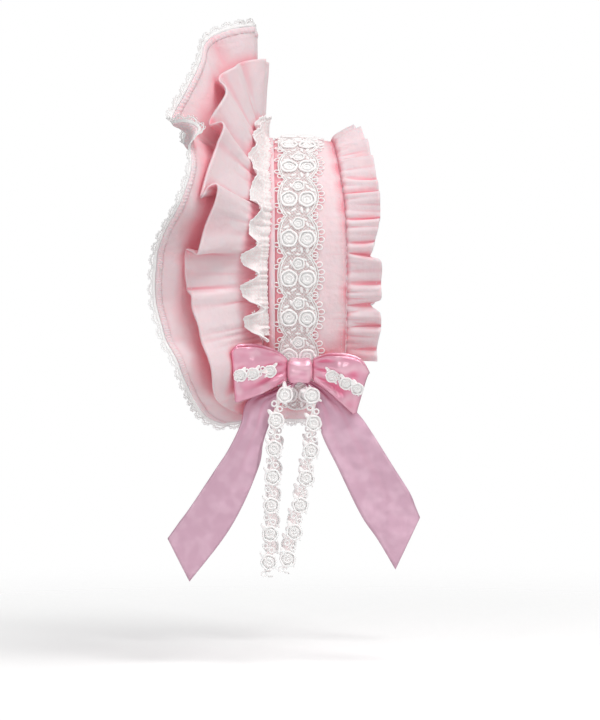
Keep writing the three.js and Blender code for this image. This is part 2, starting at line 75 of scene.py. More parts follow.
# Small folds at the gathered seams: height, pitch, seed, and how far from the seam they fade
SEAM_GATHERS = {
    "band": (0.9, 6, 11, 7),
    "brim": (1.1, 5, 21, 16),
    "ruffle": (1.8, 4.3, 31, 10),
    "ruffle_long": (1.7, 9.5, 33, 26),
    "back_frill": (2.4, 6.8, 51, 12),
}

BAND_EDGES = {
    "at": (0, 60, 120, 228, 250, 268, BAND_REACH),
    "front": (-34, -32.5, -31.5, -31.5, -31.5, -31.5, -31.5),
    "back": (22, 27, 33, 33, 28, 19, 8),
    "dome": (3, 2.5, 2, 1.5, 1, 0.5, 0),
}

# How far the brim leans forward, in degrees, and its width
BRIM_HEM = {
    "at": (0, 10, 24, 46, 60, 74, 86, 102, 122, 143, 172, 200, 222, 240, 256, 268, 276,
           BAND_REACH),
    "lean": (10, 4, 26, 33, 40, 50, 42, 37, 43, 61, 66, 58, 51, 54, 63, 69, 74, 77),
    "width": (96, 95, 96, 90.5, 89, 89.5, 90, 86.5, 90.5, 89.6, 89.8, 87.2, 81.6, 70.6, 58, 49,
              40, 33.5),
}

# Over-ruffle: a place on the seam, where its hem ends up, how far that stands off, its width
RUFFLE_FOLDS = {
    "at": (0, 16, 30, 38, 46, 57, 66, 74, 80, 88, 97, 105, 109, 112, 118, 127, 136, 142,
           145.5, 149, 158, 167, 171, 174.5, 182, 192, 210, 226, 240, 254, 266, 273),
    "hem": (0, 23, 36, 42, 47, 58, 69, 78, 82, 92, 105, 118, 113.5, 112.5, 117, 128, 142,
            146.5, 144, 143.5, 156, 168, 171.5, 174.5, 183, 193, 211, 230, 245, 258, 268, 273),
    "off": (4, 9, 14, 4, 5, 18, 24, 15, 24, 11, 3, 2, 6, 11, 12.5, 15, 25, 23.5, 12, 6, 3, 5,
            6, 14, 13, 13, 11, 13, 9, 6, 5, 4),
    "width": (66, 65, 67, 70, 69, 66, 65, 66, 66, 67, 72, 74, 72, 69, 67, 66, 66, 66, 66, 67, 65,
              64, 64, 64, 64, 62, 61, 59, 50, 36, 21, 13),
}
RUFFLE_REACH = 273
# Where the brim's hem rolls over to show its underside, how far it turns, in radians, and how
# much wider the cloth is there
HEM_ROLL = {"at": 88, "half": 6.5, "length": 12, "turn": 1.8, "wider": 0.5}
# Deep creases at the over-ruffle's root: places on the seam, lengths and depths
CREASES = {
    "at": (9, 22, 37, 52, 63, 77, 86, 101, 108, 125, 138, 152, 163, 181, 199, 214, 233),
    "long": (22, 30, 16, 34, 14, 22, 30, 14, 46, 12, 18, 13, 16, 30, 14, 22, 18),
    "deep": (2.2, 2.6, 1.8, 3, 1.6, 2.2, 2.8, 1.5, 3.4, 1.4, 3, 1.6, 2, 3.2, 1.6, 2.2, 2),
}
RUFFLE_ROOT = 3

# Lace frill: its lobes rise up to an angle in degrees, less near the top, and lean aside
FRILL_REACH = 209
FRILL_WIDTH = 18
FRILL_SCALLOP = 7.6
FRILL_CLEAR = 2.5 * LAYER_GAP + 1.1
LOBES = {"wave": 23, "rise": 68, "low": 0.3, "lowTo": 95, "fullOver": 55, "lean": 0.6}

BACK_FRILL_REACH = 230
BACK_FRILL_FOLDS = {
    "at": (0, 20.5, 23.5, 43.5, 46.5, 64.5, 67.5, 85.5, 88.5, 97, 100, 116.5, 119.5, 137.5,
           140, 147.5, 150, 170.5, 173.5, 181, 184, 188, 191, 202.5, 205.5, 220.5, 223.5, 230),
    "lift": (8, 1, 9, 1, 9, 0, 8, 1, 6, 0, 8, 0, 9, 3, 7, 0, 9, 1, 7, 4, 0, 2, 8, 1, 8, 1, 7, 3),
    "reach": (19, 21, 22, 25, 25, 27, 27, 28, 28, 28, 28, 27, 26, 22, 21, 18.5, 26, 26.5, 26.5,
              26, 19, 19.5, 25.5, 27, 26.5, 24, 24.5, 25),
}

# Rose lace: two short scallops at the top, then even ones down to a rounded end
ROSE_LACE = {
    "front": -22, "arc": 12, "dip": 5.5, "firstNotch": 23.1, "pitch": 31, "unitsEachSide": 9,
    "endRound": 12, "picots": 6, "backDip": 1.4, "bow": 0.7, "frontInset": 2, "seamGap": 8,
}
# Leaves and rings of one scallop: along and across from its middle, then turn and radius
SCALLOP_LEAVES = (
    (9, -1.2, 10, 3), (9, 3.4, -12, 3), (-8, 7.2, 60, 3), (9, -7.6, 120, 2.6),
    (-8.6, -13.4, 110, 2.8), (-12, -9.6, 20, 2.6), (-10.5, 3.4, 25, 2.6), (-14.4, 1.6, 60, 2.2),
    (12.4, -4, 90, 2.2), (11.6, -11.4, 60, 2.2),
)
SCALLOP_RINGS = ((2, 9.6), (-3.6, 9.4), (-5, -17), (4.6, -18), (-14, 5.6), (12.6, 6))
SCALLOP_RING_RADIUS = 1.3
BINDING = {"inset": 3.9, "width": 5.2, "wall": 1.2}
# Edge lace: arcs and inner arcs, each by its height and its half width as a share of the pitch,
# and the picot rings beyond the arcs
PICOT = {"pitch": 11.5, "arc": 4.3, "half": 0.46, "inner": 2.2, "innerHalf": 0.24}
PICOT_RINGS = {"shares": (0.14, 0.32, 0.5, 0.68, 0.86), "reach": 4.9, "radius": 1.05}

BOW_AT = 235
BOW_FORWARD = 2.5
KNOT = {"across": 20, "up": 20, "deep": 15, "stand": 12.3}
LOOP_HALF_DEPTH = 5
FRONT_LOOP = {
    "across": (-10.2, -20, -34, -46, -53.5),
    "mid": (0, 2.5, 4.4, 4, 3),
    "half": (8.5, 14.5, 20, 22, 22),
    "stand": (10.5, 15, 24, 30, 33),
    "slant": (0, 0, 0.5, 2, 3),
}
BACK_LOOP = {
    "across": (10.2, 22, 34, 46, 54.5),
    "mid": (0.5, -0.5, -5, -10, -14),
    "half": (8.5, 14.5, 20, 21.5, 18.4),
    "stand": (11.5, 15, 18, 19, 19),
    "slant": (0, 0, -1, -5, -10),
}

# Satin tails: both edges of the ribbon, as forward or back, height, and distance out
FRONT_TAIL = {
    "ahead": (-9.5, -25, -44, -49, -58.5, -69, -89, -98, -107),
    "aheadUp": (-195, -203, -211, -229, -249, -265, -295, -307, -319.5),
    "aheadOut": (77.5, 76.5, 82, 86, 89, 89, 87, 85, 83),
    "behind": (-4, -12, -22, -29, -34, -37, -49, -64, -90),
    "behindUp": (-195.1, -205, -214, -234, -250, -268, -296, -321, -354),
    "behindOut": (77.5, 75.5, 76, 80, 82, 83, 82, 80, 78),
}
BACK_TAIL = {
    "ahead": (-1, 7, 11, 15, 27.5, 45.5, 59, 73),
    "aheadUp": (-195.1, -205, -218, -238, -264, -301, -321, -344.5),
    "aheadOut": (77.5, 76, 77, 80, 80, 79, 78, 78),
    "behind": (4.5, 22, 42, 54.5, 72.5, 84.5, 89, 92.5),
    "behindUp": (-195, -204, -220, -236.5, -265, -284, -295, -303.5),
    "behindOut": (77.5, 75, 76, 78, 78, 77, 76, 76),
}
# Small rose lace: the roses' pitch and size on the tails and on the loops
TAIL_ROSES = {"pitch": 21, "rose": 5.6}
LOOP_ROSES = {"pitch": 14, "rose": 4.5}
FRONT_LACE_TAIL = {
    "ahead": (-7.5, -14, -20.5, -24, -28),
    "up": (-198, -205, -216, -260, -349),
    "out": (85.5, 88, 88, 90, 87),
}
BACK_LACE_TAIL = {
    "ahead": (2.5, 6, 8, 3.5, -15),
    "up": (-197.2, -205.5, -220, -264, -346),
    "out": (85.3, 87.5, 87, 87, 84),
}

SIDES = {"left": 1, "right": -1}

# Camera of the picture: level, from the left side
CAMERA_PLACE = (2.2, -0.0025, -0.1788)
CAMERA_LENS = 134.15
SENSOR = 36
FLOOR_HEIGHT = -0.42
FLOOR_RADIUS = 1300
# How brightly the studio's air lights the headband, and how the camera sees it
WORLD_LIGHT, WORLD_SEEN = 0.34, 1.0
LIGHT_AIM = (0, -0.02, -0.13)
LIGHTS = {
    "key": {"place": (0.7, 0.6, 1.3), "wide": 0.8, "tall": 0.8, "power": 15.5,
            "colour": (1, 0.99, 0.98)},
    "front": {"place": (1.6, -0.3, 0.4), "wide": 1.2, "tall": 1.2, "power": 3,
              "colour": (0.98, 0.99, 1)},
    "gloss_front": {"place": (1.5, -0.6, 0.2), "wide": 0.08, "tall": 0.7, "power": 2.8,
                    "colour": (1, 1, 1)},
    "gloss_back": {"place": (1.4, 0.7, 0.2), "wide": 0.08, "tall": 0.7, "power": 2.8,
                   "colour": (1, 1, 1)},
}

# Painted shade: where a cloth's colour starts and ends to deepen, by how hollow and how hidden a place
# is
HOLLOW_SHADE_RANGE = (0.02, 0.38)
HIDDEN_SHADE_RANGE = (0.12, 0.72)
# Painted shade: what is left of red, green and blue in the folds and where folds hide the cloth
COTTON_PAINTED_SHADE = (0.95, 0.5, 0.56)
SATIN_PAINTED_SHADE = (0.9, 0.5, 0.62)
# The tails' satin, painted paler for the light on their single layer
TAIL_PAINTED_PALER = (0.76, 0.95, 0.93)
# The cotton seen through the lace grounds, painted darker in the shade under the lace
UNDER_LACE_SHADED = (0.72, 0.42, 0.44)
UNDER_FRILL_SHADED = (0.93, 0.72, 0.74)
# Painted glow: a little emitted light in place of the light that the thin cloths let through
COTTON_PAINTED_GLOW, SATIN_PAINTED_GLOW, THREAD_PAINTED_GLOW, FRILL_PAINTED_GLOW = 0.04, 0.03, 0.07, 0.12
# Pitches of the weave, the satin's ribs, the lace ground's net and its eyelets, in metres
WEAVE_PITCH, RIB_PITCH, GROUND_PITCH = 0.0006, 0.0005, 0.0013
EYELET_PITCHES = (0.0033, 0.0037)


class HeadbandSettings(bpy.types.PropertyGroup):
    """The sizes and colours of the headband that can be changed."""

    cotton: bpy.props.FloatVectorProperty(
        name="Cotton", description="Colour of the cotton", subtype="COLOR",
        size=3, min=0, max=1, default=(0.89, 0.715, 0.742),
    )
    satin: bpy.props.FloatVectorProperty(
        name="Satin", description="Colour of the satin ribbon", subtype="COLOR",
        size=3, min=0, max=1, default=(0.95, 0.47, 0.61),
    )
    lace: bpy.props.FloatVectorProperty(
        name="Lace", description="Colour of the lace thread", subtype="COLOR",
        size=3, min=0, max=1, default=(1.0, 0.965, 0.955),
    )
    net_pitch: bpy.props.FloatProperty(
        name="Net mesh", description="Width of one mesh of the lace ground",
        default=1.9 * MM, min=MM, max=4 * MM, unit="LENGTH",
    )
    net_thread: bpy.props.FloatProperty(
        name="Net thread", description="Radius of the lace ground's thread",
        default=0.21 * MM, min=0.1 * MM, max=0.5 * MM, unit="LENGTH",
    )
    cord_thread: bpy.props.FloatProperty(
        name="Cord thread", description="Radius of the thread that outlines the lace",
        default=0.45 * MM, min=0.2 * MM, max=MM, unit="LENGTH",
    )
    stitch_pitch: bpy.props.FloatProperty(
        name="Stitch pitch", description="Distance from one stitch to the next",
        default=2.6 * MM, min=2 * MM, max=5 * MM, unit="LENGTH",
    )


# Reading the tables, and smooth random variation


def column(table, name, place):
    """A column read at many places, on the smooth curve through its rows."""
    y = np.asarray(table[name], float)
    x = np.asarray(table["at"], float) if "at" in table else np.linspace(0, 1, len(y))
    place = np.clip(place, x[0], x[-1])
    before, after = np.r_[0, np.arange(len(x) - 1)], np.r_[np.arange(1, len(x)), len(x) - 1]
    slope = (y[after] - y[before]) / (x[after] - x[before])
    row = np.clip(np.searchsorted(x, place, side="right") - 1, 0, len(x) - 2)
    span = x[row + 1] - x[row]
    t = (place - x[row]) / span
    rise = 3 * t**2 - 2 * t**3
    bend = slope[row] * (t**3 - 2 * t**2 + t) + slope[row + 1] * (t**3 - t**2)
    return y[row] + (y[row + 1] - y[row]) * rise + bend * span


def wander(place, pitch, seed):
    """Smooth random values from -1 to 1 that change every pitch, the same on each run."""
    values = np.random.default_rng(seed).uniform(-1, 1, 2048)
    t = np.asarray(place, float) / pitch + 1024
    first = np.floor(t).astype(int)
    share = t - first
    share = share * share * (3 - 2 * share)
    return values[first] * (1 - share) + values[first + 1] * share


def gathers(place, pitch, seed):
    """Uneven small folds, 0 in the dips and up to 1 on the ridges."""
    drift = 0.8 * pitch * wander(place, 2.3 * pitch, seed)
    height = 0.7 + 0.3 * wander(place, 1.7 * pitch, seed + 1)
    return height * (0.5 + 0.5 * np.cos(2 * np.pi * (place + drift) / pitch))


def seam_gathers(name, place, away):
    """The small folds that a gathered seam leaves, less with the distance from it."""
    height, pitch, seed, fade = SEAM_GATHERS[name]
    return height * gathers(place, pitch, seed) * np.exp(-away / fade)


def along_axis(vector, amount):
    """The vectors of an array, each times its own amount."""
    return vector * np.asarray(amount)[..., None]


def unit(vectors):
    """The same vectors, one long."""
    return vectors / np.maximum(np.linalg.norm(vectors, axis=-1, keepdims=True), 1e-9)


# The headband's surfaces, in millimetres


def arch(along):
    """Places and outward directions on the arch, at signed distances from its top."""
    along = np.asarray(along, float)
    side = np.where(along < 0, -1.0, 1.0)
    reach = np.abs(along)
    turn = reach / CROWN_RADIUS
    sweep = (reach - CROWN_REACH) / SIDE_RADIUS
    crown = reach <= CROWN_REACH
    out = np.zeros(along.shape + (3,))
    out[..., 0] = side * np.where(crown, np.sin(turn), np.cos(sweep))
    out[..., 2] = np.where(crown, np.cos(turn), -np.sin(sweep))
    spot = along_axis(out, np.where(crown, CROWN_RADIUS, SIDE_RADIUS))
    spot[..., 0] -= side * np.where(crown, 0, SIDE_RADIUS - CROWN_RADIUS)
    spot[..., 2] -= CROWN_RADIUS
    return spot, out


def band_point(along, y, height):
    """Points over the band, outwards from its inner face, with the puckers at its back seam."""
    spot, out = arch(along)
    place = np.abs(along)
    front, back = column(BAND_EDGES, "front", place), column(BAND_EDGES, "back", place)
    off = (y - (front + back) / 2) / ((back - front) / 2)
    pucker = seam_gathers("band", along, np.maximum(0, back - y))
    crease = 0.55 * wander(along, 13, 5) * wander(y + 0.4 * along, 9, 6)
    dome = column(BAND_EDGES, "dome", place) * off**2
    spot = spot + along_axis(out, height - dome + pucker + crease)
    spot[..., 1] = y
    return spot


def brim_folds(along, reach):
    """How far the brim's cloth rises: gathers at its seam and loose folds towards its hem."""
    near = seam_gathers("brim", along, reach)
    loose = 2.7 * wander(along, 12, 22) * (reach / 95) ** 1.3
    slack = 0.6 * wander(along + 0.3 * reach, 11, 23) * wander(reach - 0.5 * along, 16, 24)
    return near + loose + slack


def brim_point(along, reach, lift):
    """Points on the brim: along its seam, out across it, and off its back."""
    spot, out = arch(along)
    place = np.abs(along)
    lean = np.radians(column(BRIM_HEM, "lean", place))
    edge = column(BAND_EDGES, "front", place)
    dome = column(BAND_EDGES, "dome", place)
    share = np.exp(-(((place - HEM_ROLL["at"]) / HEM_ROLL["half"]) ** 2))
    past = np.maximum(0, reach - column(BRIM_HEM, "width", place) + HEM_ROLL["length"])
    turn = HEM_ROLL["turn"] * share * past / HEM_ROLL["length"]
    wider = HEM_ROLL["wider"] * share
    past = past * (1 + wider)
    lift = lift + brim_folds(along, reach)
    reach = reach + past * (np.sinc(turn / np.pi) - 1) + past * wider / (1 + wider)
    reach = reach - lift * np.sin(turn)
    lift = lift * np.cos(turn) + past * np.sin(turn / 2) * np.sinc(turn / 2 / np.pi)
    rise = BAND_WALL / 2 - dome + reach * np.cos(lean) + lift * np.sin(lean)
    spot = spot + along_axis(out, rise)
    spot[..., 1] = edge - SEAM_GAP - BRIM_WALL / 2 - reach * np.sin(lean) + lift * np.cos(lean)
    return spot


def ruffle_point(seam, across, lift):
    """Points on the over-ruffle: along its seam, from root 0 to hem 1, and off its back."""
    place = np.abs(seam)
    side = np.where(np.asarray(seam) < 0, -1.0, 1.0)
    width = column(RUFFLE_FOLDS, "width", place)
    slide = (column(RUFFLE_FOLDS, "hem", place) - place) * across**1.4
    stand = np.maximum(1, column(RUFFLE_FOLDS, "off", place)) * across**1.05
    near = seam_gathers("ruffle", seam, across * width)
    long = seam_gathers("ruffle_long", seam, across * width)
    loose = 1.2 * (1 + wander(seam + 6 * across, 12, 32)) * across**1.5
    lift = lift + RUFFLE_LIFT + stand + near + long + loose
    for at, length, depth in zip(*CREASES.values()):
        off = (place - at - 0.04 * width * across) / (1.3 + 1.5 * across)
        reached = np.clip(across * width / 3, 0, 1) * np.exp(-((across * width / length) ** 2))
        lift = lift - 0.8 * depth * reached * np.exp(-(off**2))
    return brim_point(side * (place + slide), RUFFLE_ROOT + width * across, lift)


def frill_point(seam, down, lift):
    """Points on the lace frill: along its seam, from root 0 to hem 1, and off the ruffle. Below
    0 lies its heading, in the seam at the binding."""
    place = np.abs(seam)
    side = np.where(np.asarray(seam) < 0, -1.0, 1.0)
    full = np.clip((place - LOBES["lowTo"]) / LOBES["fullOver"], LOBES["low"], 1)
    heading, down = np.maximum(0, -down), np.maximum(0, down)
    turn = 2 * np.pi * (place + 1.5 * wander(place, 30, 41) + LOBES["wave"] / 2) / LOBES["wave"]
    crest = 0.5 - 0.5 * np.cos(turn)
    raised = full * np.radians(LOBES["rise"]) * crest**1.5 * (0.93 + 0.14 * wander(seam, 20, 43))
    raised = raised * down**0.3
    flutter = 0.4 * wander(seam, 5, 42) * down
    wide = FRILL_WIDTH * down
    lean = LOBES["lean"] + LOBES["lean"] * wander(place, 31, 44)
    slid = side * (place - lean * full * np.cos(turn) * down)
    width = column(RUFFLE_FOLDS, "width", np.abs(slid))
    stand = lift + FRILL_CLEAR + wide * np.sin(raised) + flutter
    points = ruffle_point(slid, wide * np.cos(raised) / width, stand)
    points[..., 1] += FRILL_WIDTH * heading
    return points - along_axis(arch(slid)[1], 5 * heading)


def back_frill_point(along, down, lift):
    """Points on the back frill: along the band's back edge, from root 0 to hem 1."""
    place = np.abs(along)
    rise = 12 - 9 * np.minimum(1, place / 120)
    drift = place + 2 * wander(along, 9, 52) * down
    slant = 4.5 * wander(along, 19, 55) * (1 - down)
    fold = column(BACK_FRILL_FOLDS, "lift", np.abs(drift + slant)) - 4
    near = seam_gathers("back_frill", along, down * 26)
    flutter = 0.9 * wander(along, 6, 54) * down
    _, out = arch(along)
    spot = band_point(along, column(BAND_EDGES, "back", place), BAND_WALL / 2)
    spot[..., 1] += SEAM_GAP + LAYER_GAP + column(BACK_FRILL_FOLDS, "reach", drift) * down
    return spot + along_axis(out, rise * np.sqrt(down) + fold * down**0.7 + near + flutter + lift)


def bow_axes(side):
    """The bow's spot on the band, its outward direction and its way up along the band."""
    spot, out = arch(np.array(float(BOW_AT)))
    up = np.array([-out[2], 0, out[0]])
    mirror = np.array([side, 1, 1])
    return spot * mirror, out * mirror, up * mirror


def bow_point(side, across, height, stand):
    """Points of a bow: forward or back, along the band, and out from its face."""
    spot, out, up = bow_axes(side)
    points = spot + along_axis(np.broadcast_to(up, np.shape(across) + (3,)), height)
    points = points + along_axis(np.broadcast_to(out, np.shape(across) + (3,)), stand)
    points[..., 1] = across - BOW_FORWARD
    return points


def loop_point(side, rows, around, over, lift):
    """Points of a ribbon loop: out along its front layer, round the end and back behind."""
    outer = 1 - np.abs(2 * around - 1)
    swell = (0.25 + 0.75 * np.sqrt(outer)) * np.sqrt(1 - outer**4)
    layer = np.where(around < 0.5, 1, -1) * LOOP_HALF_DEPTH * swell
    face = np.where(around < 0.5, 1, 0.4) * np.minimum(1, 6 * outer)
    fan = over + 0.12 * np.sin(4 * outer + rows["across"][0])
    crease = 2 * np.cos(6.5 * np.pi * (fan - 0.5)) * np.exp(-outer / 0.4)
    dent = np.exp(-(((outer - 0.42) / 0.16) ** 2) - ((over - 0.8) / 0.13) ** 2)
    ridge = np.exp(-(((outer - 0.5 - 0.5 * (over - 0.3)) / 0.13) ** 2))
    ridge = ridge * np.exp(-(((over - 0.35) / 0.35) ** 2))
    fold = np.sin(2 * np.pi * (1.5 * outer + 0.3 * over) + rows["across"][0])
    fold = fold * np.clip(2 * outer - 0.4, 0, 1)
    crease = face * (crease - 3.4 * dent + 2 * ridge + 2.1 * fold * (1 - outer**3))
    crease = crease + 0.9 * wander(over * 9 + outer, 1.3, 61) * (0.3 + outer) * (1 - outer)
    corner = np.clip(5 * outer - 4, 0, 1) ** 2 * np.clip(1 - over / 0.35, 0, 1) ** 2
    height = column(rows, "mid", outer) + column(rows, "half", outer) * (1 - 2 * over) - 4 * corner
    stand = column(rows, "stand", outer) + layer + lift + crease
    across = column(rows, "across", outer) + column(rows, "slant", outer) * over
    return bow_point(side, across, height, stand)


def tail_point(side, rows, down, over, lift):
    """Points of a satin tail, between its two edges."""
    ahead = np.stack([column(rows, n, down) for n in ("aheadOut", "ahead", "aheadUp")], -1)
    behind = np.stack([column(rows, n, down) for n in ("behindOut", "behind", "behindUp")], -1)
    points = ahead + along_axis(behind - ahead, over)
    cup = 1.4 * np.sin(np.pi * over) * np.sin(2.2 * np.pi * down + 0.6)
    pleat = 2.4 * np.cos(5 * np.pi * over) * np.exp(-down / 0.18)
    points[..., 0] += cup + pleat + lift
    points[..., 0] *= side
    return points


# Meshes


def add_mesh(name, points, faces, material, flat=None, edges=()):
    """A mesh object from points in millimetres, with the cloth's own lengths as its UV map."""
    mesh = bpy.data.meshes.new(name)
    mesh.from_pydata(np.asarray(points, float).reshape(-1, 3) * MM, edges, faces)
    if flat is not None:
        loops = np.zeros(len(mesh.loops), np.int32)
        mesh.loops.foreach_get("vertex_index", loops)
        layer = mesh.uv_layers.new(name="cloth")
        layer.data.foreach_set("uv", (flat.reshape(-1, 2)[loops] * MM).astype(np.float32).ravel())
    if len(mesh.polygons):
        mesh.polygons.foreach_set("use_smooth", np.ones(len(mesh.polygons), bool))
    if material is not None:
        mesh.materials.append(material)
    mesh.update()
    piece = bpy.data.objects.new(name, mesh)
    bpy.context.scene.collection.objects.link(piece)
    return piece


# The cloths whose colour takes painted shade where folds hide them
GRIDS = {}


def wall(name, place, us, vs, thick, material, lengths, gets_painted_shade=True):
    """A closed cloth wall over a grid of places. lengths is the cloth's own size along and
    across, for its weave, and the last flag says whether folds which hide it paint shade into its
    colour."""
    U, V = np.meshgrid(us, vs, indexing="ij")
    middle = place(U, V)
    normal = unit(np.cross(np.gradient(middle, axis=0), np.gradient(middle, axis=1)))
    half = np.broadcast_to(thick(U, V) if callable(thick) else thick, U.shape) / 2
    points = np.concatenate([
        (middle + along_axis(normal, half)).reshape(-1, 3),
        (middle - along_axis(normal, half)).reshape(-1, 3),
    ])
    n, m = U.shape
    at = np.arange(n * m).reshape(n, m)
    a, b, c, d = at[:-1, :-1], at[1:, :-1], at[1:, 1:], at[:-1, 1:]
    top = np.stack([a, b, c, d], -1).reshape(-1, 4)
    below = np.stack([d, c, b, a], -1).reshape(-1, 4) + n * m
    ring = np.concatenate([at[:, 0], at[-1, 1:], at[-2::-1, -1], at[0, -2:0:-1]])
    after = np.roll(ring, -1)
    rim = np.stack([ring, ring + n * m, after + n * m, after], -1)
    faces = np.concatenate([top, below, rim])
    flat = np.stack([U * lengths[0], V * lengths[1]], -1).reshape(-1, 2)
    piece = add_mesh(name, points, faces.tolist(), material, np.concatenate([flat, flat]))
    # How hollow each point lies, which paints shade into the cloth's colour
    hollow = (hollows(middle, normal, 2.5) + hollows(middle, normal, 6)).ravel()
    layer = piece.data.attributes.new("hollow", "FLOAT", "POINT")
    layer.data.foreach_set("value", np.concatenate([hollow, -hollow]).astype(np.float32))
    if gets_painted_shade:
        GRIDS[name] = U.shape
    return piece


def hollows(middle, normal, radius):
    """How deep each point of a grid lies in a hollow, seen from its normal, against the mean
    of its surroundings within a radius."""
    mean = middle
    for axis in (0, 1):
        gap = np.linalg.norm(np.diff(middle, axis=axis), axis=-1).mean()
        count = max(1, round(radius / gap))
        wide = [(count, count) if k == axis else (0, 0) for k in range(3)]
        total = np.cumsum(np.pad(mean, wide, mode="reflect", reflect_type="odd"), axis=axis)
        total = np.insert(total, 0, 0, axis=axis)
        span = 2 * count + 1
        high = np.take(total, np.arange(span, total.shape[axis]), axis=axis)
        low = np.take(total, np.arange(0, total.shape[axis] - span), axis=axis)
        mean = (high - low) / span
    return ((mean - middle) * normal).sum(-1) / radius


def read_mesh(mesh):
    """A mesh's points, point normals and four-cornered faces, as arrays."""
    points, normals = np.zeros(len(mesh.vertices) * 3), np.zeros(len(mesh.vertices) * 3)
    corners = np.zeros(len(mesh.loops), np.int32)
    mesh.vertices.foreach_get("co", points)
    mesh.vertices.foreach_get("normal", normals)
    mesh.loops.foreach_get("vertex_index", corners)
    return points.reshape(-1, 3), normals.reshape(-1, 3), corners.reshape(-1, 4)


def filled(values, places, count, axis):
    """Values known at some places of an axis, read at every one of them."""
    return np.apply_along_axis(lambda row: np.interp(np.arange(count), places, row), axis, values)


def make_painted_shade():
    """Works out how much each point of the cloth is hidden among folds, for the shade painted into its
    colour.
    """
    meshes = {name: read_mesh(bpy.data.meshes[name]) for name in GRIDS}
    points, faces = [], []
    for spots, _, quads in meshes.values():
        faces.extend((quads + sum(len(p) for p in points)).tolist())
        points.append(spots)
    tree = BVHTree.FromPolygons(np.concatenate(points).tolist(), faces)
    count, far, start = 14, 26 * MM, 0.5 * MM
    turn = np.arange(count) * math.pi * (3 - math.sqrt(5))
    rise = np.sqrt((np.arange(count) + 0.5) / count)
    spread = np.sqrt(1 - rise**2)
    for name, (spots, normals, _) in meshes.items():
        n, m = GRIDS[name]
        rows, cols = np.unique(np.r_[0:n:3, n - 1]), np.unique(np.r_[0:m:2, m - 1])
        some = np.ix_([0, 1], rows, cols)
        place, out = spots.reshape(2, n, m, 3)[some], normals.reshape(2, n, m, 3)[some]
        side = unit(np.cross(out, (0.31, 0.53, 0.79)))
        over = np.cross(out, side)
        hidden = np.zeros(place.shape[:3])
        for a, up, wide in zip(turn, rise, spread):
            ray = out * up + wide * (side * math.cos(a) + over * math.sin(a))
            for where in np.ndindex(hidden.shape):
                hit = tree.ray_cast(place[where] + out[where] * start, ray[where], far)
                hidden[where] += hit[0] is not None
        hidden /= count
        full = filled(filled(hidden, rows, n, 1), cols, m, 2)
        for _ in range(2):
            full[:, 1:-1] = (full[:, :-2] + 2 * full[:, 1:-1] + full[:, 2:]) / 4
            full[:, :, 1:-1] = (full[:, :, :-2] + 2 * full[:, :, 1:-1] + full[:, :, 2:]) / 4
        layer = bpy.data.meshes[name].attributes.new("hidden", "FLOAT", "POINT")
        layer.data.foreach_set("value", full.ravel().astype(np.float32))


def spaced(start, stop, count):
    """Evenly spaced places with both ends."""
    return np.linspace(start, stop, count + 1)


def path_edges(paths):
    """All points of several open paths, and the edges that join them."""
    points = np.concatenate(paths)
    starts = np.cumsum([0] + [len(p) for p in paths])
    edges = [(i, i + 1) for a, b in zip(starts[:-1], starts[1:]) for i in range(a, b - 1)]
    return points, edges


def as_mesh(name, tool, material):
    """What the piece's nodes made, as a plain mesh, and the helper removed."""
    made = bpy.data.meshes.new_from_object(
        tool.evaluated_get(bpy.context.evaluated_depsgraph_get())
    )
    for modifier in list(tool.modifiers):
        tool.modifiers.remove(modifier)
    bpy.data.objects.remove(tool)
    made.name = name
    made.materials.clear()
    made.materials.append(material)
    piece = bpy.data.objects.new(name, made)
    bpy.context.scene.collection.objects.link(piece)
    return piece


def join(name, pieces):
    """Several pieces of one material as one mesh."""
    main = pieces[0]
    if len(pieces) > 1:
        with bpy.context.temp_override(
            active_object=main, selected_objects=pieces, selected_editable_objects=pieces
        ):
            bpy.ops.object.join()
    main.name = name
    main.data.name = name
    return main


def wear(piece, replaced=()):
    """The piece rides on the headband and stands for solids."""
    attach(piece, "root")
    if replaced:
        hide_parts(*replaced)
    return piece


# Geometry Nodes


